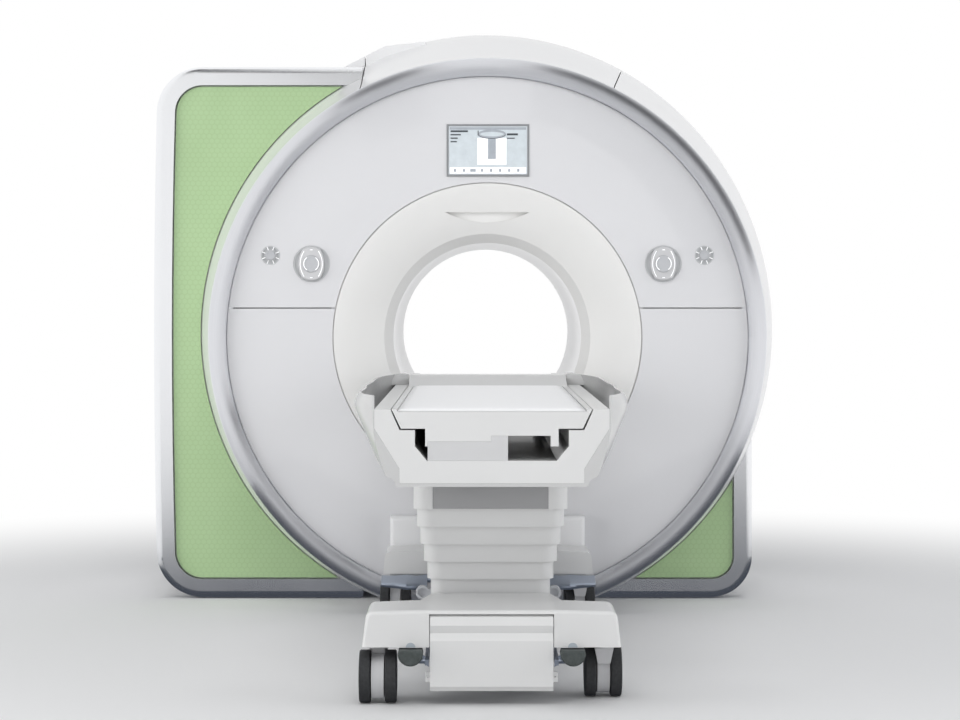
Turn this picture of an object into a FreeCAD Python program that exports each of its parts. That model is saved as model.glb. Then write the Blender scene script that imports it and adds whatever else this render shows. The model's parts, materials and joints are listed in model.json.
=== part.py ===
import FreeCAD, Part

import math
import os

# Magnetic resonance scanner with a dockable patient table, in millimetres.
# X to the right seen from the patient end, Y into the bore, Z up.
# The origin is on the floor under the middle of the magnet.

V = FreeCAD.Vector
AXIS_X = V(1, 0, 0)
AXIS_Y = V(0, 1, 0)
AXIS_Z = V(0, 0, 1)
FAR = 4000.0  # reach of a cutting body, past every face of the machine

# ---- shared clearances
SEAT = 0.3  # between a piece and the seat that carries it
RUN = 0.05  # radial, round a turning shaft
SEAM = 4.0  # visible joint between two cover panels
SLIDE_GAP = 4.0  # round the moving tabletop in its trough
FLOOR_GAP = 4.0  # under the covers

# ---- round front: the radii of its rings, from the tunnel outwards
BORE_R = 350.0
FUNNEL_WIDTH = 216.0
FUNNEL_R = BORE_R + FUNNEL_WIDTH
FACE_WIDTH = 395.0
RING_IN_R = FUNNEL_R + FACE_WIDTH
RING_WIDTH = 69.0
RING_OUT_R = RING_IN_R + RING_WIDTH
RING_SINK = 16.0  # of the ring's lowest point under the floor, where it is cut flat
BORE_Z = RING_OUT_R - RING_SINK

# ---- places along the tunnel, from its face inwards
FACE_Y = -730.0
FLARE_DEPTH = 68.0
FLARE_Y = FACE_Y + FLARE_DEPTH
FUNNEL_NECK = 60.0
LINER_FRONT = FLARE_Y + FUNNEL_NECK

# ---- tunnel's liner
LINER_WALL = 8.0
LINER_REAR = 600.0

# ---- magnet and coils inside the covers
BODY_COIL_WALL = 14.0
GRADIENT_WALL = 77.0
COIL_INSET = 42.0
COIL_HALF = -LINER_FRONT - COIL_INSET
VESSEL_GAP = 31.0
VESSEL_R = RING_IN_R - VESSEL_GAP
VESSEL_WALL = 22.0
VESSEL_OVERHANG = 30.0
VESSEL_HALF = COIL_HALF + VESSEL_OVERHANG
NECK_X = -400.0
NECK_R = 110.0
NECK_DROP = 24.0
NECK_TOP = BORE_Z + VESSEL_R - NECK_DROP
COLD_HEAD_R = 62.0
COLD_HEAD_HEIGHT = 110.0
FLANGE_T = 16.0
FOOT_X = 365.0
FOOT_Y = 300.0
PLATE_T = 20.0
SADDLE_X = 345.0
SADDLE_T = 110.0
SADDLE_Y = 190.0
ANCHOR_X = 300.0
ANCHOR_Y = 272.0
ANCHOR_R = 9.0

# ---- funnel, face panels and metal ring
PANEL_T = 12.0
PANEL_CROWN = 6.0
FLARE_STEP = 32.0
FLARE_R = BORE_R + FLARE_STEP
FUNNEL_BACK = 30.0
LIP = 18.0  # seat behind a panel's edge
RING_NOSE = 42.0
RING_NOSE_IN = 27.0
RING_FRONT_Y = FACE_Y - RING_NOSE
RING_DEPTH = 92.0
RING_BACK_Y = FACE_Y + RING_DEPTH
RING_EDGE = 4.0
RING_EDGE_DEPTH = 38.0
RING_WALL = 20.0
SEAM_RISE = 107.5
FACE_SEAM_Z = BORE_Z + SEAM_RISE
RECESS_INSET = 105.5
RECESS_TOP_Z = BORE_Z + FUNNEL_R - RECESS_INSET
RECESS_HALF_X = 155.0
RECESS_DROP = 37.0
RECESS_DEPTH = 14.0

# ---- display and controls on the face
DISPLAY_X = 2.0
DISPLAY_RISE = 121.0
DISPLAY_Z = BORE_Z + FUNNEL_R + DISPLAY_RISE
DISPLAY_W = 290.0
DISPLAY_H = 178.0
DISPLAY_FRAME = 7.0
DISPLAY_PROUD = 2.0
DISPLAY_BACK = 4.0
SCREEN_DROP = 1.5
DIAL_OUT = 80.0
DIAL_X = FUNNEL_R + DIAL_OUT
DIAL_RISE = 270.0
DIAL_Z = BORE_Z + DIAL_RISE
DIAL_R = 67.0
GRIP_END_HALF = 28.0
GRIP_MID_HALF = 47.0
GRIP_T = 20.0
GRIP_CHAMFER = 4.0
CONTROL_RIM = 5.0
PUSH_R = 31.0
PUSH_DISH = 8.0
CALL_OUT = 231.0
CALL_X = FUNNEL_R + CALL_OUT
CALL_RISE = 301.0
CALL_Z = BORE_Z + CALL_RISE
CALL_R = 35.0
CALL_RIM = 4.0
CALL_BUTTON_R = 17.5
CALL_DISH = 5.0
CALL_RIBS = 8
RIB_HALF = 1.5
BUTTON_CHAMFER = 1.5
CONTROL_PROUD = 5.0  # of the fixed rings, over the face
BUTTON_TRAVEL = 4.0
BUTTON_SINK = 2.0

# ---- round shell behind the ring
DRUM_RISE = 17.0
DRUM_Z = BORE_Z + DRUM_RISE
DRUM_FULL_RISE = 34.0
DRUM_FULL_Z = BORE_Z + DRUM_FULL_RISE
DRUM_LIP = 4.0
DRUM_FRONT_R = RING_OUT_R + DRUM_LIP
DRUM_JOIN_Y = -320.0
DRUM_FLARE = 66.0
DRUM_JOIN_R = DRUM_FRONT_R + DRUM_FLARE
DRUM_FULL_Y = -60.0
DRUM_WIDEN = 32.0
DRUM_HALF_X = DRUM_JOIN_R + DRUM_WIDEN
DRUM_HEIGHTEN = 49.0
DRUM_HALF_Z = DRUM_JOIN_R + DRUM_HEIGHTEN
DRUM_END_Y = 420.0
DRUM_REAR_Y = 690.0
DRUM_TAPER = 10.0
DRUM_REAR_R = DRUM_JOIN_R - DRUM_TAPER
SHELL_WALL = 8.0
SEAM_INSET = 654.0
LEFT_SEAM_X = SEAM_INSET - DRUM_HALF_X
RIGHT_SEAM_DEG = 62.5
REAR_Y = 800.0
REAR_FLARE_WIDTH = 210.0
REAR_FLARE_R = BORE_R + REAR_FLARE_WIDTH
REAR_SHOULDER_DEPTH = 48.0
REAR_SHOULDER_Y = REAR_Y - REAR_SHOULDER_DEPTH
REAR_SHOULDER_STEP = 34.0
REAR_SHOULDER_R = DRUM_REAR_R - REAR_SHOULDER_STEP
REAR_EDGE_STEP = 110.0
REAR_EDGE_R = DRUM_REAR_R - REAR_EDGE_STEP

# ---- offset side housing with its metal frame and coloured panels
HOUSING_OFFSET = 240.0
HOUSING_LEFT = -RING_OUT_R - HOUSING_OFFSET
HOUSING_BULGE = 15.0
HOUSING_INSET = 6.0
HOUSING_RIGHT = RING_OUT_R - HOUSING_INSET
HOUSING_RISE = 6.0
HOUSING_TOP = BORE_Z + RING_OUT_R + HOUSING_RISE
FRAME_FRONT = -338.0
FRAME_DEPTH = 98.0
FRAME_WIDTH = 72.0
FRAME_ROUND = 26.0
LEFT_CORNER_R = 178.0
RIGHT_CORNER_R = 158.0
PANEL_SET_BACK = 16.0
COLOUR_PANEL_Y = FRAME_FRONT + PANEL_SET_BACK
COLOUR_PANEL_T = 22.0
SIDE_REAR = 560.0
SIDE_WALL = 9.0
TURRET_FRONT = -120.0
TURRET_REAR = 330.0
TURRET_LIFT = 0.5
TURRET_FALL = 18.0
TURRET_OUTER = 122.0  # places of the turret's edges, from the shell's upright seam
TURRET_CREST = 78.0
TURRET_INNER = 238.0

# ---- patient table: widths from the middle, from the moving board outwards
BOARD_INSET = 69.0
BOARD_HALF_X = BORE_R - BOARD_INSET
BOARD_TAPER = 26.0
BOARD_LOW_HALF_X = BOARD_HALF_X - BOARD_TAPER
KEEL_INSET = 94.0
KEEL_HALF_X = BOARD_HALF_X - KEEL_INSET
KEEL_WALL = 22.0
TROUGH_MARGIN = 29.0
TROUGH_HALF_X = KEEL_HALF_X + TROUGH_MARGIN
TROUGH_FLOOR_INSET = 5.0
TROUGH_FLOOR_HALF_X = KEEL_HALF_X - TROUGH_FLOOR_INSET
DRIVE_INSET = 7.0
DRIVE_STEP_X = -2.0
DRIVE_RIGHT = 45.0
DRIVE_END_GAP = 12.0
PAD_INSET = 19.0
PAD_HALF_X = BOARD_HALF_X - PAD_INSET
BODY_MARGIN = 49.0
BODY_HALF_X = BOARD_HALF_X + BODY_MARGIN
BODY_TAPER = 70.5
BODY_LOW_HALF_X = BODY_HALF_X - BODY_TAPER
SHROUD_BASE_INSET = 60.0
SHROUD_BASE_HALF_X = BODY_HALF_X - SHROUD_BASE_INSET
SHROUD_STEP_INSET = 56.0
SHROUD_STEP_HALF_X = BODY_HALF_X - SHROUD_STEP_INSET
HEAD_CORNER_MARGIN = 44.0
HEAD_CORNER_HALF_X = BODY_HALF_X + HEAD_CORNER_MARGIN

# ---- patient table: heights, from its top face down
TABLE_GAP = 18.0
TABLE_FAR = FACE_Y - TABLE_GAP
TABLE_LENGTH = 1949.0
TABLE_NEAR = TABLE_FAR - TABLE_LENGTH
TOP_DROP = 167.0
TOP_Z = BORE_Z - TOP_DROP
BODY_SIDE_DROP = 53.0
BODY_SIDE_Z = TOP_Z - BODY_SIDE_DROP
BODY_LOW_DROP = 166.0
BODY_LOW_Z = TOP_Z - BODY_LOW_DROP
BODY_DEPTH = 207.0
BODY_BOTTOM = TOP_Z - BODY_DEPTH
BOARD_T = 54.0
BOARD_LOW_Z = TOP_Z - BOARD_T
KEEL_DEPTH = 103.5
KEEL_BOTTOM = TOP_Z - KEEL_DEPTH
TROUGH_DEPTH = 144.0
TROUGH_FLOOR_Z = TOP_Z - TROUGH_DEPTH
DRIVE_DROP = 90.0
DRIVE_TOP = TOP_Z - DRIVE_DROP
DRIVE_HIGH_DROP = 74.0
DRIVE_HIGH_TOP = TOP_Z - DRIVE_HIGH_DROP
HEAD_RISE = 33.0
HEAD_RAMP_REACH = 307.0
HEAD_RAMP_START = TABLE_FAR - HEAD_RAMP_REACH
HEAD_LEVEL = 112.0
HEAD_RAMP_END = TABLE_FAR - HEAD_LEVEL
PAD_SINK = 6.0
PAD_T = 10.0
PAD_EDGE = 4.0
PAD_CROWN = 3.0
PAD_END = 30.0
SHROUD_DEPTH = 217.0
SHROUD_BOTTOM = TOP_Z - SHROUD_DEPTH
SHROUD_STEP_DROP = 198.0
SHROUD_STEP_Z = TOP_Z - SHROUD_STEP_DROP
SHROUD_WALL = 14.0
SHROUD_SKIN = 5.0
RIM_HEIGHT = 38.0
RIM_Z = TOP_Z + RIM_HEIGHT
# side of the shroud at its near end, upwards: distance beyond the body's side, height over its top,
# and the share of the wings' reach that it takes
SIDE_CURVE = [(-33.0, -189.0, 0.18), (-14.0, -134.0, 0.42), (3.0, -53.0, 0.71), (4.5, 3.0, 1.0)]
# wings along the table from its near end: share of its length, reach beyond the near end, lean of the rim
WINGS = [
    (0.0, 0.0, 0.0),
    (0.031, 25.0, 7.0),
    (0.077, 50.0, 11.0),
    (0.154, 64.0, 12.0),
    (0.359, 68.0, 12.0),
    (0.631, 64.0, 12.0),
    (0.797, 49.0, 14.0),
    (0.89, 22.0, 18.0),
    (1.0, 2.0, 26.0),
]
HEAD_CORNER_REACH = 402.0
HEAD_CORNER_START = TABLE_FAR - HEAD_CORNER_REACH
HEAD_CORNER_SETBACK = 157.0
HEAD_CORNER_END = TABLE_FAR - HEAD_CORNER_SETBACK

# ---- telescopic column
COVER_COUNT = 6
COLUMN_SHIFT = 27.5
COLUMN_Y = (TABLE_NEAR + TABLE_FAR) / 2 - COLUMN_SHIFT
COVER_HALF_X = 232.5
COVER_HALF_Y = 500.0
COVER_STEP = 10.2
COVER_WALL = 4.0
COVER_CORNER_R = 45.0
COVER_LAP = 14.0
COVER_COLLAR = 8.0
COVER_HEAD = 105.8  # height of the uppermost cover
COVER_REST = 1.6  # of each cover that still shows with the table down
COLUMN_FOOT = 256.2
COVER_PITCH = (SHROUD_BOTTOM - COVER_HEAD - COLUMN_FOOT) / (COVER_COUNT - 1)
LIFT_TRAVEL = (COVER_PITCH - COVER_REST) * (COVER_COUNT - 1)
RECESS_PANEL_HALF_X = 175.0
RECESS_PANEL_DEPTH = 2.0
CYLINDER_R = 48.0
ROD_R = 30.0
CYLINDER_FLOOR = 80.0
CYLINDER_END_T = 8.0

# ---- rails in the tunnel and the dock on the face
BRIDGE_DROP = 9.0
BRIDGE_TOP = TOP_Z - BRIDGE_DROP
BRIDGE_REACH = 8.0
BRIDGE_FRONT = FACE_Y - BRIDGE_REACH
DOCK_HALF_X = 355.0
DOCK_LOW = 150.0
DOCK_GAP = 8.0  # under the lowered table
DOCK_HIGH = SHROUD_BOTTOM - LIFT_TRAVEL - DOCK_GAP
DOCK_DEPTH = 70.0
DOCK_FRONT = FACE_Y - DOCK_DEPTH
DOCK_ROUND = 16.0
DOCK_PIN_X = 120.0
DOCK_PIN_Z = 215.0
DOCK_PIN_R = 14.0
DOCK_PIN_REACH = 45.0
DOCK_SOCKET_WALL = 6.0

# ---- table base
BASE_SETBACK = 77.0
BASE_NEAR = TABLE_NEAR + BASE_SETBACK
BASE_BAR = 210.0
BASE_HALF_X = 369.0
BASE_TOP_HALF_X = 356.0
BASE_TOP = 274.0
BASE_CROWN = 5.0
BASE_LOW = 168.0
REAR_HALF_X = 367.0
REAR_TOP_HALF_X = 361.0
REAR_BASE_LOW = 193.0
BASE_WALL = 6.0
BASE_ROUND = 22.0
TONGUE_HALF_X = 217.0
TONGUE_TIP_HALF_X = 184.0
TONGUE_GAP = 6.0
STOP_R = 14.0
STOP_PROUD = 3.0
BEAM_HALF_X = 150.0
BEAM_LOW = 72.0
BEAM_TOP = 240.0
BEAM_WALL = 8.0
FRONT_CASTOR_SETBACK = 126.0
FRONT_CASTOR_Y = BASE_NEAR + FRONT_CASTOR_SETBACK
REAR_CASTOR_SETBACK = 291.0
REAR_CASTOR_Y = TABLE_FAR - REAR_CASTOR_SETBACK
BEAM_REACH = 66.0
BEAM_NEAR = FRONT_CASTOR_Y - BEAM_REACH
BEAM_TAIL = 79.0
BEAM_FAR = REAR_CASTOR_Y + BEAM_TAIL
CROSS_HALF_X = 345.0
CROSS_HALF_Y = 46.0
POST_R = 12.0
DROP_HALF_X = 175.0
DROP_TOP = 260.0
DROP_BOTTOM = 43.0
DROP_GAP = 2.0
DROP_WALL = 20.0
# upper part of the drop panel's face: depth behind the base's near face, and drop from its top edge
DROP_FACE = [(44.0, 4.0), (12.0, 0.0), (1.0, 6.0), (-5.0, 30.0), (3.0, 52.0), (-4.0, 74.0)]
TAB_REACH = 13.0
TAB_T = 4.0
TAB_TOP = 96.0
TAB_H = 28.0
TAB_HOLE_R = 2.5

# ---- castors
CASTOR_X = 325.0
CASTOR_TRAIL = 53.0
WHEEL_R = 75.0
WHEEL_W = 32.0
WHEEL_SPACING = 74.0
WHEEL_CHAMFER = 3.0
WHEEL_GAP = 2.5
AXLE_R = 6.0
GUARD_R = 64.0
GUARD_T = 36.0
STEM_R = 12.0
STEM_LENGTH = 40.0
SWIVEL_FLANGE_R = 32.0

# ---- pedals
FRONT_SHAFT_OFFSET = 114.0
FRONT_SHAFT_Y = FRONT_CASTOR_Y + FRONT_SHAFT_OFFSET
FRONT_SHAFT_Z = 140.0
SHAFT_R = 10.0
ARM_HALF_X = 189.0
ARM_T = 11.0
ARM_H = 24.0
PEDAL_X = 230.0
PEDAL_HALF_X = 36.0
PEDAL_REACH = 42.0
PEDAL_NEAR = BASE_NEAR - PEDAL_REACH
PEDAL_LENGTH = 60.0
PEDAL_FAR = PEDAL_NEAR + PEDAL_LENGTH
PEDAL_TOP = 164.0
PEDAL_DROP = 44.0
PEDAL_RIM = 10.0
PEDAL_CHAMFER = 4.0
STUB_R = 8.0
WEB_LOW = 113.0
WEB_RISE = 14.0
WEB_H = 22.0
WEB_BITE = 4.0
WEB_SETBACK = 38.0
WEB_NEAR = PEDAL_NEAR + WEB_SETBACK
WEB_T = 10.0
REAR_SHAFT_OFFSET = 146.0
REAR_SHAFT_Y = REAR_CASTOR_Y - REAR_SHAFT_OFFSET
REAR_SHAFT_Z = 180.0
WING_REACH = 77.0
WING_NEAR = REAR_SHAFT_Y - WING_REACH
WING_LENGTH = 90.0
WING_FAR = WING_NEAR + WING_LENGTH
# rear wings from root to tip: distance from the middle, underside, near lip, far top, set back
WING_SECTIONS = [
    (212.0, 146.0, 172.0, 197.0, 20.0),
    (282.0, 154.0, 174.0, 196.0, 0.0),
    (370.0, 163.0, 176.0, 193.0, 14.0),
]
BOSS_X = 226.0
BOSS_Z = 150.0
BOSS_R = 23.0
BOSS_EYE_R = 15.0
BOSS_REACH = 115.0
BOSS_Y = REAR_SHAFT_Y - BOSS_REACH
BOSS_T = 30.0


# ---------------------------------------------------------------- helpers
def box(x0, x1, y0, y1, z0, z1):
    """Block between two corners."""
    return Part.makeBox(x1 - x0, y1 - y0, z1 - z0, V(x0, y0, z0))


def rod_y(x, z, r, y0, y1):
    """Round bar along Y."""
    return Part.makeCylinder(r, y1 - y0, V(x, y0, z), AXIS_Y)


def rod_x(y, z, r, x0, x1):
    """Round bar along X."""
    return Part.makeCylinder(r, x1 - x0, V(x0, y, z), AXIS_X)


def rod_z(x, y, r, z0, z1):
    """Round bar along Z."""
    return Part.makeCylinder(r, z1 - z0, V(x, y, z0), AXIS_Z)


def prism_y(points, y0, y1):
    """Outline in X and Z, extruded along Y."""
    wire = Part.makePolygon([V(x, y0, z) for x, z in points + points[:1]])
    return Part.Face(wire).extrude(V(0, y1 - y0, 0))


def prism_x(points, x0, x1):
    """Outline in Y and Z, extruded along X."""
    wire = Part.makePolygon([V(x0, y, z) for y, z in points + points[:1]])
    return Part.Face(wire).extrude(V(x1 - x0, 0, 0))


def prism_z(points, z0, z1):
    """Outline in X and Y, extruded upwards."""
    wire = Part.makePolygon([V(x, y, z0) for x, y in points + points[:1]])
    return Part.Face(wire).extrude(V(0, 0, z1 - z0))


def front_rim(shape, y):
    """Edges of the shape that lie in the plane at depth y."""
    return [e for e in shape.Edges if abs(e.BoundBox.YMin - y) < 1e-6 and abs(e.BoundBox.YMax - y) < 1e-6]


def mirrored(points):
    """An outline's right half, given bottom to top, completed with its left half."""
    return points + [(-x, z) for x, z in reversed(points)]


def turned(points, arcs=()):
    """Profile of (radius, y) points turned about the tunnel's axis; arcs gives an edge its middle point."""
    bends = dict(arcs)
    edges = []
    for i, (r, y) in enumerate(points):
        r2, y2 = points[(i + 1) % len(points)]
        start = V(r, y, BORE_Z)
        end = V(r2, y2, BORE_Z)
        if i in bends:
            rm, ym = bends[i]
            edges.append(Part.Arc(start, V(rm, ym, BORE_Z), end).toShape())
        else:
            edges.append(Part.makeLine(start, end))
    face = Part.Face(Part.Wire(edges))
    return face.revolve(V(0, 0, BORE_Z), AXIS_Y, 360)


def tube_y(r_in, r_out, y0, y1):
    """Tube on the tunnel's axis."""
    return rod_y(0, BORE_Z, r_out, y0, y1).cut(rod_y(0, BORE_Z, r_in, y0 - 1, y1 + 1))


def oval(half_x, half_z, y, z):
    """Upright oval wire round a point on the machine's middle plane."""
    stretch = FreeCAD.Matrix()
    stretch.scale(half_x, 1, half_z)
    edge = Part.makeCircle(1, V(0, 0, 0), AXIS_Y).transformGeometry(stretch)
    wire = Part.Wire(edge.Edges)
    wire.translate(V(0, y, z))
    return wire


def edges_along(shape, axis, test):
    """Straight edges of the shape that run along an axis and whose middle passes the test."""
    found = []
    for edge in shape.Edges:
        if not isinstance(edge.Curve, Part.Line):
            continue
        run = edge.Vertexes[-1].Point.sub(edge.Vertexes[0].Point)
        if run.Length > 0 and abs(run.normalize().dot(axis)) > 0.999 and test(edge.CenterOfMass):
            found.append(edge)
    return found


def above_floor(shape):
    """The shape without what would reach the floor."""
    return shape.cut(box(-FAR, FAR, -FAR, FAR, -FAR, FLOOR_GAP))


def save(name, shape):
    """Writes one named piece."""
    shape.exportStep(os.path.join("parts", name + ".step"))


# ---------------------------------------------------------------- magnet
def inner_radii():
    """Radii of the nested tubes, from the tunnel's wall outwards."""
    body_in = BORE_R + LINER_WALL + SEAT
    body_out = body_in + BODY_COIL_WALL
    gradient_in = body_out + SEAT
    gradient_out = gradient_in + GRADIENT_WALL
    vessel_in = gradient_out + SEAT
    return body_in, body_out, gradient_in, gradient_out, vessel_in


def magnet():
    """Vacuum vessel with its neck, the two coils, the tunnel's liner and the cold head."""
    body_in, body_out, gradient_in, gradient_out, vessel_in = inner_radii()
    vessel = tube_y(vessel_in, VESSEL_R, -VESSEL_HALF, VESSEL_HALF)
    neck = rod_z(NECK_X, 0, NECK_R, BORE_Z + VESSEL_R / 2, NECK_TOP)
    vessel = vessel.fuse(neck)
    chamber_half = VESSEL_HALF - VESSEL_WALL
    chamber = tube_y(vessel_in + VESSEL_WALL, VESSEL_R - VESSEL_WALL, -chamber_half, chamber_half)
    save("magnet_vessel", vessel.cut(chamber))
    save("gradient_coil", tube_y(gradient_in, gradient_out, -COIL_HALF, COIL_HALF))
    save("body_coil", tube_y(body_in, body_out, -COIL_HALF, COIL_HALF))
    save("bore_liner", tube_y(BORE_R, BORE_R + LINER_WALL, LINER_FRONT, LINER_REAR))
    flange = rod_z(NECK_X, 0, NECK_R, NECK_TOP, NECK_TOP + FLANGE_T)
    motor = rod_z(NECK_X, 0, COLD_HEAD_R, NECK_TOP + FLANGE_T, NECK_TOP + COLD_HEAD_HEIGHT)
    valve = rod_x(0, NECK_TOP + COLD_HEAD_HEIGHT / 2, COLD_HEAD_R / 2, NECK_X, NECK_X + NECK_R)
    save("cold_head", flange.fuse(motor).fuse(valve))


def magnet_feet():
    """Base plate with two saddles that carry the vessel, and holes for floor anchors."""
    feet = box(-FOOT_X, FOOT_X, -FOOT_Y, FOOT_Y, 0, PLATE_T)
    for side in (-1, 1):
        y = side * SADDLE_Y
        saddle_top = BORE_Z - VESSEL_R / 2
        saddle = box(-SADDLE_X, SADDLE_X, y - SADDLE_T / 2, y + SADDLE_T / 2, PLATE_T, saddle_top)
        feet = feet.fuse(saddle)
    feet = feet.cut(rod_y(0, BORE_Z, VESSEL_R + SEAT, -FAR, FAR))
    for sx in (-1, 1):
        for sy in (-1, 1):
            feet = feet.cut(rod_z(sx * ANCHOR_X, sy * ANCHOR_Y, ANCHOR_R, -1, PLATE_T + 1))
    save("magnet_feet", feet)


# ---------------------------------------------------------------- round front
def flare_point(share):
    """Point (radius, y) on the funnel's curved flare, from its rim at 0 to its throat at 1."""
    r = FUNNEL_R + (FLARE_R - FUNNEL_R) * share
    y = FACE_Y + (FLARE_Y - FACE_Y) * share ** 1.7
    return r, y


def funnel():
    """Flared mouth of the tunnel, with a scooped recess over the opening."""
    profile = [
        flare_point(0),
        (FLARE_R, FLARE_Y),
        (BORE_R, LINER_FRONT - SEAT),
        (BORE_R + LINER_WALL, LINER_FRONT - SEAT),
        (FLARE_R + FUNNEL_BACK, FLARE_Y + FUNNEL_BACK),
        (FUNNEL_R + LIP, FACE_Y + PANEL_T + FUNNEL_BACK / 2),
        (FUNNEL_R + LIP, FACE_Y + PANEL_T + SEAT),
        (FUNNEL_R, FACE_Y + PANEL_T + SEAT),
    ]
    body = turned(profile, {0: flare_point(0.5)})
    low = RECESS_TOP_Z - RECESS_DROP
    middle = V(0, -FAR, low)
    left = V(-RECESS_HALF_X, -FAR, RECESS_TOP_Z)
    right = V(RECESS_HALF_X, -FAR, RECESS_TOP_Z)
    lens_wire = Part.Wire([Part.makeLine(left, right), Part.Arc(right, middle, left).toShape()])
    lens = Part.Face(lens_wire).extrude(V(0, 2 * FAR, 0))
    floor_share = (FUNNEL_R - (low - BORE_Z)) / (FUNNEL_R - FLARE_R)
    floor_y = flare_point(floor_share)[1]
    top_share = (FUNNEL_R - (RECESS_TOP_Z - BORE_Z)) / (FUNNEL_R - FLARE_R)
    top_y = flare_point(top_share)[1] + RECESS_DEPTH
    wedge = prism_x([(-FAR, low), (floor_y, low), (top_y, RECESS_TOP_Z), (-FAR, RECESS_TOP_Z)], -FAR, FAR)
    save("front_funnel", body.cut(lens.common(wedge)))


def face_panels():
    """Two glossy panels round the funnel, split by a level seam, with openings for the controls."""
    r_in = FUNNEL_R + SEAM
    r_out = RING_IN_R - SEAM
    crown = ((r_in + r_out) / 2, FACE_Y - PANEL_CROWN)
    back = FACE_Y + PANEL_T
    disc = turned([(r_in, FACE_Y), (r_out, FACE_Y), (r_out, back), (r_in, back)], {0: crown})
    upper = disc.cut(box(-FAR, FAR, -FAR, FAR, -FAR, FACE_SEAM_Z + SEAM / 2))
    lower = disc.cut(box(-FAR, FAR, -FAR, FAR, FACE_SEAM_Z - SEAM / 2, FAR))
    half_w = DISPLAY_W / 2 + DISPLAY_FRAME
    half_h = DISPLAY_H / 2 + DISPLAY_FRAME
    window = box(DISPLAY_X - half_w, DISPLAY_X + half_w, -FAR, FAR, DISPLAY_Z - half_h, DISPLAY_Z + half_h)
    upper = upper.cut(window)
    for side in (-1, 1):
        upper = upper.cut(rod_y(side * DIAL_X, DIAL_Z, DIAL_R + SEAT, -FAR, FAR))
        upper = upper.cut(rod_y(side * CALL_X, CALL_Z, CALL_R + SEAT, -FAR, FAR))
    save("upper_face_panel", upper)
    save("lower_face_panel", lower)


def front_ring():
    """Rounded metal ring round the face, flat where it meets the floor, with a seat behind the panels."""
    seat_y = FACE_Y + PANEL_T + SEAT
    nose_r = RING_IN_R + RING_NOSE_IN
    profile = [
        (RING_IN_R, FACE_Y),
        (RING_OUT_R - RING_EDGE, RING_FRONT_Y + RING_EDGE_DEPTH),
        (RING_OUT_R, RING_BACK_Y),
        (RING_OUT_R - RING_WALL, RING_BACK_Y),
        (RING_IN_R - LIP, seat_y + LIP),
        (RING_IN_R - LIP, seat_y),
        (RING_IN_R, seat_y),
    ]
    save("front_ring", above_floor(turned(profile, {0: (nose_r, RING_FRONT_Y)})))


# ---------------------------------------------------------------- display and controls
def display():
    """Flat screen in a thin dark frame, let into the upper face panel."""
    half_w = DISPLAY_W / 2
    half_h = DISPLAY_H / 2
    edge = DISPLAY_FRAME - SEAT
    front = FACE_Y - PANEL_CROWN - DISPLAY_PROUD
    back = FACE_Y + PANEL_T
    x0 = DISPLAY_X - half_w
    x1 = DISPLAY_X + half_w
    z0 = DISPLAY_Z - half_h
    z1 = DISPLAY_Z + half_h
    outer = box(x0 - edge, x1 + edge, front, back, z0 - edge, z1 + edge)
    floor = back - DISPLAY_BACK
    bezel = outer.cut(box(x0, x1, front - 1, floor, z0, z1))
    save("display_bezel", bezel)
    screen = box(x0 + SEAT, x1 - SEAT, front + SCREEN_DROP, floor - SEAT, z0 + SEAT, z1 - SEAT)
    save("display_screen", screen)


def dial_grip(x):
    """Waisted grip bar of a rotary control: narrow at its ends and bulged round the push button."""
    front = FACE_Y - CONTROL_PROUD - GRIP_T
    back = FACE_Y - SEAT
    reach = DIAL_R - CONTROL_RIM - SEAT
    top = DIAL_Z + reach
    low = DIAL_Z - reach

    def side(s):
        start = V(x + s * GRIP_END_HALF, front, DIAL_Z - s * reach)
        bulge = V(x + s * GRIP_MID_HALF, front, DIAL_Z)
        end = V(x + s * GRIP_END_HALF, front, DIAL_Z + s * reach)
        return Part.Arc(start, bulge, end).toShape()

    lower = Part.makeLine(V(x - GRIP_END_HALF, front, low), V(x + GRIP_END_HALF, front, low))
    upper = Part.makeLine(V(x + GRIP_END_HALF, front, top), V(x - GRIP_END_HALF, front, top))
    outline = Part.Wire([lower, side(1), upper, side(-1)])
    grip = Part.Face(outline).extrude(V(0, back - front, 0))
    grip = grip.common(rod_y(x, DIAL_Z, reach, front, back))
    grip = grip.makeChamfer(GRIP_CHAMFER, front_rim(grip, front))
    return grip.cut(rod_y(x, DIAL_Z, PUSH_R + SEAT, front - 1, back + 1))


def button(x, z, r, front, back, dish):
    """Round push button with a chamfered edge and a shallow dished face."""
    body = rod_y(x, z, r, front, back)
    body = body.makeChamfer(BUTTON_CHAMFER, front_rim(body, front))
    return body.cut(rod_y(x, z, r - dish, front - 1, front + BUTTON_CHAMFER))


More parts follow.
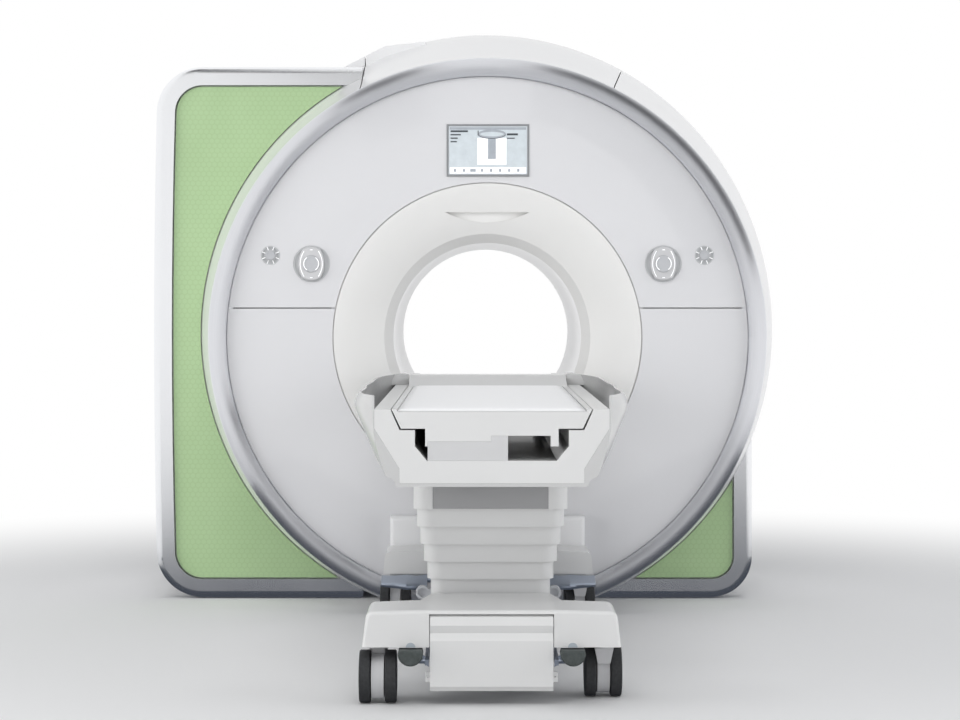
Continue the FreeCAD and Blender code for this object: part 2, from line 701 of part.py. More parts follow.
def controls():
    """Two rotary controls and two small call buttons, mirrored either side of the opening."""
    fixed = []
    seat_y = FACE_Y + BUTTON_SINK
    for side, name in ((-1, "left"), (1, "right")):
        x = side * DIAL_X
        plate = rod_y(x, DIAL_Z, DIAL_R, FACE_Y - CONTROL_PROUD, FACE_Y + PANEL_T)
        plate = plate.cut(rod_y(x, DIAL_Z, DIAL_R - CONTROL_RIM, FACE_Y - FAR, FACE_Y))
        plate = plate.cut(rod_y(x, DIAL_Z, PUSH_R + SEAT, FACE_Y - FAR, seat_y + BUTTON_TRAVEL))
        fixed.append(plate)
        save(name + "_dial", dial_grip(x))
        front = FACE_Y - CONTROL_PROUD - GRIP_T - BUTTON_TRAVEL - 1
        save(name + "_dial_button", button(x, DIAL_Z, PUSH_R, front, seat_y - SEAT, PUSH_DISH))
        cx = side * CALL_X
        ring = rod_y(cx, CALL_Z, CALL_R, FACE_Y - CONTROL_PROUD, FACE_Y + PANEL_T)
        ring = ring.cut(rod_y(cx, CALL_Z, CALL_R - CALL_RIM, FACE_Y - FAR, FACE_Y))
        hub = rod_y(cx, CALL_Z, CALL_BUTTON_R + CALL_RIM, FACE_Y - CONTROL_PROUD, FACE_Y + PANEL_T)
        ring = ring.fuse(hub)
        for k in range(CALL_RIBS):
            x0 = cx + CALL_BUTTON_R
            x1 = cx + CALL_R - CALL_RIM / 2
            rib = box(x0, x1, FACE_Y - CONTROL_PROUD, FACE_Y, CALL_Z - RIB_HALF, CALL_Z + RIB_HALF)
            rib.rotate(V(cx, 0, CALL_Z), AXIS_Y, 360 / CALL_RIBS * (k + 0.5))
            ring = ring.fuse(rib)
        ring = ring.cut(rod_y(cx, CALL_Z, CALL_BUTTON_R + SEAT, FACE_Y - FAR, seat_y + BUTTON_TRAVEL))
        fixed.append(ring)
        call_front = FACE_Y - CONTROL_PROUD - BUTTON_TRAVEL - 1
        call_button = button(cx, CALL_Z, CALL_BUTTON_R, call_front, seat_y - SEAT, CALL_DISH)
        save(name + "_call_button", call_button)
    save("control_rings", Part.makeCompound(fixed))


# ---------------------------------------------------------------- round shell
def drum(grow):
    """Round body of the housing, grown by a margin: a circle at the ring, taller than wide behind it."""
    rows = [
        (RING_BACK_Y + SEAT, DRUM_FRONT_R, DRUM_FRONT_R, BORE_Z),
        (DRUM_JOIN_Y, DRUM_JOIN_R, DRUM_JOIN_R, (BORE_Z + DRUM_Z) / 2),
        (DRUM_FULL_Y, DRUM_HALF_X, DRUM_HALF_Z, DRUM_FULL_Z),
        (DRUM_END_Y, DRUM_HALF_X, DRUM_HALF_Z, DRUM_FULL_Z),
        (DRUM_REAR_Y, DRUM_REAR_R, DRUM_REAR_R, DRUM_Z),
    ]
    wires = [oval(half_x + grow, half_z + grow, y, z) for y, half_x, half_z, z in rows]
    return Part.makeLoft(wires, True, False)


def shell():
    """White shell of the drum in three covers, parted by an upright seam and a radial one."""
    whole = above_floor(drum(0).cut(drum(-SHELL_WALL)))
    angle = math.radians(RIGHT_SEAM_DEG)
    ray = (FAR * math.cos(angle), DRUM_Z + FAR * math.sin(angle))
    half = SEAM / 2
    shift = (half * math.sin(angle), half * math.cos(angle))
    right_region = [
        (shift[0], DRUM_Z - shift[1]),
        (ray[0] + shift[0], ray[1] - shift[1]),
        (FAR, -FAR),
        (half, -FAR),
    ]
    top_region = [
        (-shift[0], DRUM_Z + shift[1]),
        (ray[0] - shift[0], ray[1] + shift[1]),
        (LEFT_SEAM_X + half, FAR),
        (LEFT_SEAM_X + half, DRUM_Z + shift[1]),
    ]
    save("shell_right", whole.common(prism_y(right_region, -FAR, FAR)))
    top = whole.common(prism_y(top_region, -FAR, FAR))
    save("shell_top", top.fuse(turret(LEFT_SEAM_X + half, FAR, -SHELL_WALL / 2)))
    left_region = [
        (LEFT_SEAM_X - half, FAR),
        (LEFT_SEAM_X - half, DRUM_Z),
        (-half, DRUM_Z),
        (-half, -FAR),
        (-FAR, -FAR),
        (-FAR, FAR),
    ]
    save("shell_left", whole.common(prism_y(left_region, -FAR, FAR)))


def rear_cover():
    """Rear cover: a dished shell with a rounded shoulder and its own flared mouth."""
    start = DRUM_REAR_Y + SEAT
    wall = SHELL_WALL
    shoulder_r = REAR_SHOULDER_R
    shoulder_z = (DRUM_Z + BORE_Z) / 2
    outer = Part.makeLoft(
        [
            oval(DRUM_REAR_R, DRUM_REAR_R, start, DRUM_Z),
            oval(shoulder_r, shoulder_r, REAR_SHOULDER_Y, shoulder_z),
            oval(REAR_EDGE_R, REAR_EDGE_R, REAR_Y, BORE_Z),
        ],
        True,
        False,
    )
    inner = Part.makeLoft(
        [
            oval(DRUM_REAR_R - wall, DRUM_REAR_R - wall, start - wall, DRUM_Z),
            oval(shoulder_r - wall, shoulder_r - wall, REAR_SHOULDER_Y - wall, shoulder_z),
            oval(REAR_EDGE_R - wall, REAR_EDGE_R - wall, REAR_Y - wall, BORE_Z),
        ],
        True,
        False,
    )
    dish = outer.cut(inner).cut(rod_y(0, BORE_Z, REAR_FLARE_R + wall, -FAR, FAR))
    throat = LINER_REAR + SEAT
    mouth = turned(
        [
            (BORE_R, throat),
            (REAR_FLARE_R, REAR_Y),
            (REAR_FLARE_R + 2 * wall, REAR_Y),
            (REAR_FLARE_R + 2 * wall, REAR_Y - wall),
            (REAR_FLARE_R, REAR_Y - wall),
            (BORE_R + wall, throat),
        ]
    )
    save("rear_cover", above_floor(dish.fuse(mouth)))


# ---------------------------------------------------------------- side housing
def housing_outline(inset, side):
    """Rounded outline of the side housing, inset by a margin, as a body through the whole depth."""
    low = FLOOR_GAP + inset
    top = HOUSING_TOP - inset
    if side < 0:
        edge_x = HOUSING_LEFT + inset
        middle = V(edge_x - HOUSING_BULGE, -FAR, (low + top) / 2)
        bulge = Part.Arc(V(edge_x, -FAR, low), middle, V(edge_x, -FAR, top)).toShape()
        corners = [(edge_x, top), (0, top), (0, low), (edge_x, low)]
        rest = Part.makePolygon([V(x, -FAR, z) for x, z in corners])
        body = Part.Face(Part.Wire([bulge] + rest.Edges)).extrude(V(0, 2 * FAR, 0))
        corners = edges_along(body, AXIS_Y, lambda c: c.x < edge_x + 1)
        return body.makeFillet(LEFT_CORNER_R - inset, corners)
    edge_x = HOUSING_RIGHT - inset
    body = box(0, edge_x, -FAR, FAR, low, DRUM_Z)
    corners = edges_along(body, AXIS_Y, lambda c: c.x > edge_x - 1 and c.z < DRUM_Z / 2)
    return body.makeFillet(RIGHT_CORNER_R - inset, corners)


def slab(body, y0, y1):
    """The stretch of a body between two depths."""
    return body.common(box(-FAR, FAR, y0, y1, -FAR, FAR))


def side_keep(side):
    """The half-space that a side's pieces stay in, short of the shell's upright seam."""
    if side < 0:
        return box(-FAR, LEFT_SEAM_X - SEAM / 2, -FAR, FAR, -FAR, FAR)
    return box(0, FAR, -FAR, FAR, -FAR, FAR)


def side_housing(side, name):
    """Metal frame, coloured panel and rear cover of one side of the housing."""
    keep = side_keep(side)
    round_gap = drum(SEAT)
    panel_gap = drum(SEAM)
    frame_back = FRAME_FRONT + FRAME_DEPTH
    outer = slab(housing_outline(0, side), FRAME_FRONT, frame_back)
    rim = [e for e in front_rim(outer, FRAME_FRONT) if e.CenterOfMass.x * side > 1]
    if side > 0:
        rim = [e for e in rim if e.BoundBox.ZMin < DRUM_Z - 1]
    outer = outer.makeFillet(FRAME_ROUND, rim)
    frame = outer.cut(housing_outline(FRAME_WIDTH, side)).cut(round_gap).common(keep)
    save(name + "_frame", biggest(frame))
    panel = slab(housing_outline(FRAME_WIDTH + SEAM, side), COLOUR_PANEL_Y, COLOUR_PANEL_Y + COLOUR_PANEL_T)
    save(name + "_colour_panel", biggest(panel.cut(panel_gap).common(keep)))
    plug_front = COLOUR_PANEL_Y + COLOUR_PANEL_T + SEAT
    plug = slab(housing_outline(FRAME_WIDTH + SEAT, side), plug_front, frame_back + SEAM)
    main = slab(housing_outline(SEAT, side), frame_back + SEAT, SIDE_REAR)
    chamber = slab(housing_outline(SIDE_WALL, side), frame_back + SIDE_WALL, SIDE_REAR - SIDE_WALL)
    chamber = chamber.cut(drum(SIDE_WALL)).common(keep)
    cover = plug.fuse(main).cut(round_gap).common(keep)
    inside = box(-FAR, LEFT_SEAM_X - SIDE_WALL, -FAR, FAR, -FAR, FAR) if side < 0 else keep
    save(name + "_side_cover", biggest(cover).cut(biggest(chamber.common(inside))))


def biggest(shape):
    """The largest solid of a cut body, without the slivers beyond the seam."""
    return sorted(shape.Solids, key=lambda s: s.Volume)[-1]


def turret(low_x, high_x, grow):
    """Part of the slope over the cold head between two upright planes, cut to the round shell's form."""
    inner = LEFT_SEAM_X + TURRET_INNER
    top = DRUM_FULL_Z + DRUM_HALF_Z * math.sqrt(1 - (inner / DRUM_HALF_X) ** 2) + TURRET_LIFT
    outline = [
        (LEFT_SEAM_X - TURRET_OUTER, HOUSING_TOP + SEAT),
        (LEFT_SEAM_X + TURRET_CREST, top - TURRET_FALL),
        (inner, top),
        (inner, HOUSING_TOP + SEAT),
    ]
    block = prism_y(outline, TURRET_FRONT, TURRET_REAR).cut(drum(grow))
    return biggest(block.common(box(low_x, high_x, -FAR, FAR, -FAR, FAR)))


def turret_cover():
    """Outer part of the sloping cover over the cold head, standing on the side housing."""
    save("turret_cover", turret(-FAR, LEFT_SEAM_X - SEAM / 2, SEAT))


# ---------------------------------------------------------------- tunnel rails and dock
def board_outline(grow):
    """Half section of the moving tabletop, right side, bottom to top, grown by the sliding gap."""
    return [
        (KEEL_HALF_X + grow, KEEL_BOTTOM - grow),
        (KEEL_HALF_X + grow, BOARD_LOW_Z - grow),
        (BOARD_LOW_HALF_X + grow, BOARD_LOW_Z - grow),
        (BOARD_HALF_X + grow, TOP_Z),
    ]


def tunnel_bridge():
    """Rails in the bottom of the tunnel that the tabletop runs over."""
    bed = rod_y(0, BORE_Z, BORE_R - SEAT, BRIDGE_FRONT, LINER_REAR)
    bed = bed.cut(box(-FAR, FAR, -FAR, FAR, BRIDGE_TOP, FAR))
    save("tunnel_bridge", bed.cut(prism_y(mirrored(board_outline(SLIDE_GAP)), -FAR, FAR)))


def docking_housing():
    """Dock on the lower face, with two sockets for the table's pins."""
    back = FACE_Y - PANEL_CROWN - SEAT
    dock = box(-DOCK_HALF_X, DOCK_HALF_X, DOCK_FRONT, back, DOCK_LOW, DOCK_HIGH)
    dock = dock.makeFillet(DOCK_ROUND, front_rim(dock, DOCK_FRONT))
    for side in (-1, 1):
        socket_end = back - DOCK_SOCKET_WALL
        dock = dock.cut(rod_y(side * DOCK_PIN_X, DOCK_PIN_Z, DOCK_PIN_R + 1, -FAR, socket_end))
    save("docking_housing", dock)


# ---------------------------------------------------------------- table body
def body_outline(grow):
    """Half section of the table's body, right side, bottom to top."""
    return [
        (BODY_LOW_HALF_X + grow, BODY_BOTTOM - grow),
        (BODY_LOW_HALF_X + grow, BODY_LOW_Z - grow / 2),
        (BODY_HALF_X + grow, BODY_SIDE_Z - grow / 2),
        (BODY_HALF_X + grow, TOP_Z),
    ]


def table_body():
    """Extruded body with the trough that the tabletop runs in."""
    trough = [
        (TROUGH_FLOOR_HALF_X, TROUGH_FLOOR_Z),
        (TROUGH_HALF_X, KEEL_BOTTOM),
        (TROUGH_HALF_X, BOARD_LOW_Z - SLIDE_GAP),
        (BOARD_LOW_HALF_X + SLIDE_GAP, BOARD_LOW_Z - SLIDE_GAP),
        (BOARD_HALF_X + SLIDE_GAP, TOP_Z + 0.5),
    ]
    body = prism_y(mirrored(body_outline(0)), TABLE_NEAR, TABLE_FAR)
    save("table_body", body.cut(prism_y(mirrored(trough), -FAR, FAR)))
    drive_left = DRIVE_INSET - KEEL_HALF_X
    drive = [
        (drive_left, TROUGH_FLOOR_Z + SEAT),
        (DRIVE_RIGHT, TROUGH_FLOOR_Z + SEAT),
        (DRIVE_RIGHT, DRIVE_HIGH_TOP),
        (DRIVE_STEP_X, DRIVE_HIGH_TOP),
        (DRIVE_STEP_X, DRIVE_TOP),
        (drive_left, DRIVE_TOP),
    ]
    save("drive_housing", prism_y(drive, TABLE_NEAR, TABLE_FAR - DRIVE_END_GAP))


def tabletop():
    """Moving board with its keel, the bed for the pad and the raised head end."""
    drive_left = DRIVE_INSET - KEEL_HALF_X
    section = [
        (-KEEL_HALF_X, KEEL_BOTTOM),
        (drive_left - SEAT, KEEL_BOTTOM),
        (drive_left - SEAT, DRIVE_TOP + SEAT),
        (DRIVE_STEP_X - SEAT, DRIVE_TOP + SEAT),
        (DRIVE_STEP_X - SEAT, DRIVE_HIGH_TOP + SEAT),
        (KEEL_HALF_X - KEEL_WALL, DRIVE_HIGH_TOP + SEAT),
        (KEEL_HALF_X - KEEL_WALL, KEEL_BOTTOM),
    ]
    section = section + board_outline(0) + [(-x, z) for x, z in reversed(board_outline(0)[1:])]
    board = prism_y(section, TABLE_NEAR, TABLE_FAR)
    bed_half = PAD_HALF_X + SLIDE_GAP
    bed = box(-bed_half, bed_half, TABLE_NEAR - 1, HEAD_RAMP_START, TOP_Z - PAD_SINK, TOP_Z + 1)
    rise = [
        (HEAD_RAMP_START, TOP_Z),
        (HEAD_RAMP_END, TOP_Z + HEAD_RISE),
        (TABLE_FAR, TOP_Z + HEAD_RISE),
        (TABLE_FAR, TOP_Z),
    ]
    head_half = BOARD_HALF_X - 2 * SEAT
    head = prism_x(rise, -head_half, head_half)
    save("tabletop", board.cut(bed).fuse(head))


def mattress():
    """Thin pad in the tabletop's bed, with drawn-in sides and a slight crown."""
    low = TOP_Z - PAD_SINK + SEAT
    far = HEAD_RAMP_START - SLIDE_GAP
    near = TABLE_NEAR + SLIDE_GAP
    height = PAD_T - PAD_CROWN
    wires = []
    for y, draw in ((near, PAD_EDGE), (near + PAD_END, 0), (far - PAD_END, 0), (far, PAD_EDGE)):
        half = PAD_HALF_X - draw
        side = half - PAD_EDGE
        edges = [
            Part.makeLine(V(-side, y, low), V(side, y, low)),
            Part.Arc(V(side, y, low), V(half, y, low + height / 2), V(side, y, low + height)).toShape(),
            Part.Arc(V(side, y, low + height), V(0, y, low + PAD_T), V(-side, y, low + height)).toShape(),
            Part.Arc(V(-side, y, low + height), V(-half, y, low + height / 2), V(-side, y, low)).toShape(),
        ]
        wires.append(Part.Wire(edges))
    save("mattress", Part.makeLoft(wires, True, True))


def shroud_section(y, out, lean, inset, rim_z):
    """Outline of the shroud at one depth: a stepped underside, curved sides and a level top."""
    base = inset / 2
    half = BODY_HALF_X - inset
    side = [(half + margin + share * out, TOP_Z + rise) for margin, rise, share in SIDE_CURVE]
    side.append((side[-1][0] - lean, rim_z))
    right = [V(x, y, z) for x, z in side]
    left = [V(-x, y, z) for x, z in side]
    low = [
        V(-SHROUD_STEP_HALF_X + inset, y, SHROUD_STEP_Z + base),
        V(-SHROUD_BASE_HALF_X + inset, y, SHROUD_BOTTOM + base),
        V(SHROUD_BASE_HALF_X - inset, y, SHROUD_BOTTOM + base),
        V(SHROUD_STEP_HALF_X - inset, y, SHROUD_STEP_Z + base),
    ]
    corners = [left[0]] + low + [right[0]]
    edges = [Part.makeLine(a, b) for a, b in zip(corners, corners[1:])]
    curve = Part.BSplineCurve()
    curve.interpolate(right)
    edges.append(curve.toShape())
    edges.append(Part.makeLine(right[-1], left[-1]))
    curve = Part.BSplineCurve()
    curve.interpolate(list(reversed(left)))
    edges.append(curve.toShape())
    return Part.Wire(edges)


def head_corners(body):
    """Solid corners at the head end, where the rim turns inwards over the table's body."""
    inner = BOARD_HALF_X + SLIDE_GAP
    base = TOP_Z + SEAT
    quarter = math.sqrt(0.5)
    middle = V(
        inner + (HEAD_CORNER_HALF_X - inner) * quarter,
        HEAD_CORNER_START + (HEAD_CORNER_END - HEAD_CORNER_START) * quarter,
        base,
    )
    first = V(HEAD_CORNER_HALF_X, HEAD_CORNER_START, base)
    last = V(inner, HEAD_CORNER_END, base)
    edges = [Part.Arc(first, middle, last).toShape()]
    corners = [(inner, TABLE_FAR), (FAR, TABLE_FAR), (FAR, HEAD_CORNER_START)]
    points = [last] + [V(x, y, base) for x, y in corners] + [first]
    edges = edges + [Part.makeLine(a, b) for a, b in zip(points, points[1:])]
    right = Part.Face(Part.Wire(edges)).extrude(V(0, 0, RIM_Z - base))
    left = right.mirror(V(0, 0, 0), AXIS_X)
    return body.common(right.fuse(left))


def table_shroud():
    """Outer shell of the table: two wings that flare from the near end and close in again at the head end."""
    near = TABLE_NEAR
    above = RIM_Z + SHROUD_WALL
    stations = [(near + share * TABLE_LENGTH, *wing) for share, *wing in WINGS]
    outer = Part.makeLoft([shroud_section(*station, 0, RIM_Z) for station in stations], True, False)
    inside = [shroud_section(*station, SHROUD_WALL, above) for station in stations]
    hollow = slab(Part.makeLoft(inside, True, False), near + SHROUD_SKIN, TABLE_FAR + 1)
    opening = body_outline(SEAT)
    opening = opening[:-1] + [(opening[-1][0], above)]
    shell_body = outer.cut(hollow).cut(prism_y(mirrored(opening), near - 1, TABLE_FAR + 2))
    save("table_shroud", biggest(shell_body.fuse(head_corners(outer))))


# ---------------------------------------------------------------- column
def cover_block(half_x, half_y, r, z0, z1):
    """Upright block with rounded corners on the column's axis."""
    block = box(-half_x, half_x, COLUMN_Y - half_y, COLUMN_Y + half_y, z0, z1)
    return block.makeFillet(r, edges_along(block, AXIS_Z, lambda c: True))


def column_cover(k):
    """Cover k of the telescopic column, counted from the table down; each lower one is a step smaller."""
    step = COVER_STEP * (k - 1)
    half_x = COVER_HALF_X - step
    half_y = COVER_HALF_Y - step
    bottom = COLUMN_FOOT + (COVER_COUNT - k) * COVER_PITCH
    top = SHROUD_BOTTOM if k == 1 else bottom + COVER_PITCH + COVER_LAP
    cover = cover_block(half_x, half_y, COVER_CORNER_R, bottom, top)
    if k > 1:
        reach = COVER_STEP - COVER_WALL - SEAT
        collar = cover_block(half_x + reach, half_y + reach, COVER_CORNER_R + reach, top - COVER_COLLAR, top)
        cover = cover.fuse(collar)
    inner_r = COVER_CORNER_R - COVER_WALL
    hollow = cover_block(half_x - COVER_WALL, half_y - COVER_WALL, inner_r, bottom - 1, top + 1)
    cover = cover.cut(hollow)
    if k == 1:
        panel = RECESS_PANEL_HALF_X
        near = COLUMN_Y - half_y
        cover = cover.cut(box(-panel, panel, near - 1, near + RECESS_PANEL_DEPTH, bottom + 1, top + 1))
    save("column_cover_" + str(k), cover)


def lift():
    """Lifting cylinder in the base and its rod under the table."""
    top = SHROUD_BOTTOM - LIFT_TRAVEL - 2
    barrel = rod_z(0, COLUMN_Y, CYLINDER_R, CYLINDER_FLOOR, top)
    bore = rod_z(0, COLUMN_Y, ROD_R + RUN, CYLINDER_FLOOR + CYLINDER_END_T, top + 1)
    save("lift_cylinder", barrel.cut(bore))
    foot = CYLINDER_FLOOR + CYLINDER_END_T + LIFT_TRAVEL + 1
    save("lift_rod", rod_z(0, COLUMN_Y, ROD_R, foot, SHROUD_BOTTOM))


# ---------------------------------------------------------------- base
def base_cover(near, low, half_x, top_half_x, towards):
    """Moulded end cover of the base: a bar over two castors, crowned on top, with a tongue to the column."""
    far = near + BASE_BAR
    top_z = BASE_TOP - BASE_CROWN
    bar = prism_y(mirrored([(half_x, low), (top_half_x, top_z), (TONGUE_HALF_X, BASE_TOP)]), near, far)
    shoulders = edges_along(bar, AXIS_Y, lambda c: c.z > low + 1 and abs(c.x) > TONGUE_HALF_X + 1)
    bar = bar.makeFillet(BASE_ROUND, shoulders)
    outer_y = near if towards > 0 else far
    rim = [e for e in front_rim(bar, outer_y) if e.BoundBox.ZMax > low + 1]
    bar = bar.makeFillet(BASE_ROUND / 2, rim)
    inner = [
        (half_x - BASE_WALL, low - 1),
        (top_half_x - BASE_WALL, top_z - BASE_WALL),
        (TONGUE_HALF_X, BASE_TOP - BASE_WALL),
    ]
    hollow = prism_y(mirrored(inner), near + BASE_WALL, far - BASE_WALL)
    tip = COLUMN_Y - towards * (COVER_HALF_Y + TONGUE_GAP)
    root = far - BASE_WALL if towards > 0 else near + BASE_WALL
    wide = TONGUE_HALF_X
    narrow = TONGUE_TIP_HALF_X
    corners = [(-wide, root), (wide, root), (narrow, tip), (-narrow, tip)]
    tongue = prism_z(corners, BEAM_TOP + SEAT, BASE_TOP)
    sides = [e for e in tongue.Edges if e.BoundBox.ZMin > BASE_TOP - 1 and e.BoundBox.YLength > 1]
    tongue = tongue.makeFillet(BASE_ROUND / 2, sides)
    beam = box(-BEAM_HALF_X - SEAT, BEAM_HALF_X + SEAT, -FAR, FAR, -FAR, BEAM_TOP + SEAT)
    return bar.cut(hollow).fuse(tongue).cut(beam)


def base_covers():
    """The two end covers; the near one has the drop panel's window and a round stop over each brake pad."""
    front = base_cover(BASE_NEAR, BASE_LOW, BASE_HALF_X, BASE_TOP_HALF_X, 1)
    reach = DROP_HALF_X + DROP_GAP
    depth = DROP_FACE[0][0] + BASE_WALL
    window = box(-reach, reach, BASE_NEAR - 1, BASE_NEAR + depth, BASE_LOW - 1, DROP_TOP + DROP_GAP)
    front = front.cut(window)
    for side in (-1, 1):
        stop = rod_y(side * PEDAL_X, BASE_LOW, STOP_R, BASE_NEAR - STOP_PROUD, BASE_NEAR + BASE_WALL)
        front = front.fuse(stop.cut(box(-FAR, FAR, -FAR, FAR, -FAR, BASE_LOW)))
    save("front_base_cover", front)
    rear_near = REAR_CASTOR_Y - (BASE_BAR - (FRONT_CASTOR_Y - BASE_NEAR))
    save("rear_base_cover", base_cover(rear_near, REAR_BASE_LOW, REAR_HALF_X, REAR_TOP_HALF_X, -1))


def drop_panel():
    """Foot guard that hangs in front of the base, with a crease under its top edge and two fixing tabs."""
    near = BASE_NEAR
    inside = near + DROP_WALL
    face = [(near + depth, DROP_TOP - drop) for depth, drop in DROP_FACE]
    foot = [(near - 2, DROP_BOTTOM + 14), (near + 8, DROP_BOTTOM), (inside, DROP_BOTTOM)]
    hanger = [(inside, DROP_TOP - 44), (BEAM_NEAR - SEAT, DROP_TOP - 44), (BEAM_NEAR - SEAT, DROP_TOP - 30)]
    panel = prism_x(face + foot + hanger, -DROP_HALF_X, DROP_HALF_X)
    for side in (-1, 1):
        x0, x1 = sorted((side * (DROP_HALF_X - 2), side * (DROP_HALF_X + TAB_REACH)))
        tab = box(x0, x1, inside - TAB_T, inside, TAB_TOP - TAB_H, TAB_TOP)
        hole = rod_y(side * (DROP_HALF_X + TAB_REACH / 2), TAB_TOP - TAB_H / 2, TAB_HOLE_R, near, inside + 1)
        panel = panel.fuse(tab.cut(hole))
    save("front_drop_panel", panel)


def chassis():
    """Welded frame of the base: a channel beam, two cross members, the column's plate and the dock pins."""
    beam = box(-BEAM_HALF_X, BEAM_HALF_X, BEAM_NEAR, BEAM_FAR, BEAM_LOW, BEAM_TOP)
    inner_x = BEAM_HALF_X - BEAM_WALL
    inner_top = BEAM_TOP - BEAM_WALL
    channel = box(-inner_x, inner_x, BEAM_NEAR + BEAM_WALL, BEAM_FAR - BEAM_WALL, BEAM_LOW - 1, inner_top)
    socket_half = CYLINDER_R + 2 * BEAM_WALL
    socket = box(-inner_x, inner_x, COLUMN_Y - socket_half, COLUMN_Y + socket_half, BEAM_LOW - 1, BEAM_TOP)
    beam = beam.cut(channel.cut(socket))
    cover_top = BASE_TOP - BASE_WALL - SEAT
    for y in (FRONT_CASTOR_Y, REAR_CASTOR_Y):
        cross = box(-CROSS_HALF_X, CROSS_HALF_X, y - CROSS_HALF_Y, y + CROSS_HALF_Y, BASE_LOW, BEAM_TOP)
        beam = beam.fuse(cross)
        for side in (-1, 1):
            post = rod_z(side * (TONGUE_HALF_X - 2 * POST_R), y, POST_R, BEAM_TOP - 5, cover_top)
            hole = rod_z(side * CASTOR_X, y, STEM_R + RUN, BASE_LOW - 1, BASE_LOW + STEM_LENGTH + 2)
            beam = beam.fuse(post).cut(hole)
    last_step = COVER_STEP * (COVER_COUNT - 1)
    half_x = COVER_HALF_X - last_step
    half_y = COVER_HALF_Y - last_step
    beam = beam.fuse(box(-half_x, half_x, COLUMN_Y - half_y, COLUMN_Y + half_y, BEAM_TOP - 1, COLUMN_FOOT))
    for side in (-1, 1):
        pin = rod_y(side * DOCK_PIN_X, DOCK_PIN_Z, DOCK_PIN_R, BEAM_FAR - 1, DOCK_FRONT + DOCK_PIN_REACH)
        x0, x1 = sorted((side * (BEAM_HALF_X - 1), side * BOSS_X))
        bracket = box(x0, x1, BOSS_Y, BOSS_Y + BOSS_T, BOSS_Z - BOSS_R / 2, BOSS_Z + BOSS_R / 2)
        boss = rod_y(side * BOSS_X, BOSS_Z, BOSS_R, BOSS_Y, BOSS_Y + BOSS_T)
        eye = rod_y(side * BOSS_X, BOSS_Z, BOSS_EYE_R, BOSS_Y - 1, BOSS_Y + BOSS_T / 3)
        beam = beam.fuse(pin).fuse(bracket.fuse(boss).cut(eye))
    beam = beam.cut(rod_z(0, COLUMN_Y, CYLINDER_R + SEAT, CYLINDER_FLOOR, FAR))
    beam = beam.cut(rod_x(FRONT_SHAFT_Y, FRONT_SHAFT_Z, SHAFT_R + RUN, -BEAM_HALF_X - 1, BEAM_HALF_X + 1))
    beam = beam.cut(rod_x(REAR_SHAFT_Y, REAR_SHAFT_Z, SHAFT_R + RUN, -BEAM_HALF_X - 1, BEAM_HALF_X + 1))
    save("table_chassis", beam)


# ---------------------------------------------------------------- castors
def castor(x, y, trail, name):
    """Twin-wheel castor: a guard disc and swivel tower between two wheels on one axle."""
    axle_y = y + trail
    guard = rod_x(axle_y, WHEEL_R, GUARD_R, x - GUARD_T / 2, x + GUARD_T / 2)
    low = V(x, y, 2 * WHEEL_R - 45)
    high = V(x, y, 2 * WHEEL_R)
    tower = Part.makeLoft([rectangle(low, 18, 22), rectangle(high, 27, 30)], True, True)
    flange = rod_z(x, y, SWIVEL_FLANGE_R, 2 * WHEEL_R, BASE_LOW - SEAT)
    stem = rod_z(x, y, STEM_R, BASE_LOW - SEAT, BASE_LOW + STEM_LENGTH)
    yoke = guard.fuse(tower).fuse(flange).fuse(stem)
    pieces = []
    for side in (-1, 1):
        middle = x + side * WHEEL_SPACING / 2
        wheel = rod_x(axle_y, WHEEL_R, WHEEL_R, middle - WHEEL_W / 2, middle + WHEEL_W / 2)
        treads = [e for e in wheel.Edges if e.isClosed() and e.BoundBox.XLength < 1e-6]
        wheel = wheel.makeChamfer(WHEEL_CHAMFER, treads)
        pieces.append(wheel.cut(rod_x(axle_y, WHEEL_R, AXLE_R + RUN, x - FAR, x + FAR)))
        inner = middle - side * (WHEEL_W / 2 + WHEEL_GAP)
        outer = middle + side * WHEEL_R
        well_x0, well_x1 = sorted((inner, outer))
        yoke = yoke.cut(rod_x(axle_y, WHEEL_R, WHEEL_R + WHEEL_GAP, well_x0, well_x1))
    yoke = yoke.cut(rod_x(axle_y, WHEEL_R, AXLE_R + RUN, x - FAR, x + FAR))
    half_axle = WHEEL_SPACING / 2 + WHEEL_W / 2 - 1
    pieces.append(rod_x(axle_y, WHEEL_R, AXLE_R, x - half_axle, x + half_axle))
    save(name + "_castor_yoke", yoke)
    save(name + "_castor_wheels", Part.makeCompound(pieces))


def rectangle(centre, half_x, half_y):
    """Level rectangular wire."""
    signs = ((-1, -1), (1, -1), (1, 1), (-1, 1))
    corners = [V(centre.x + a * half_x, centre.y + b * half_y, centre.z) for a, b in signs]
    return Part.makePolygon(corners + corners[:1])


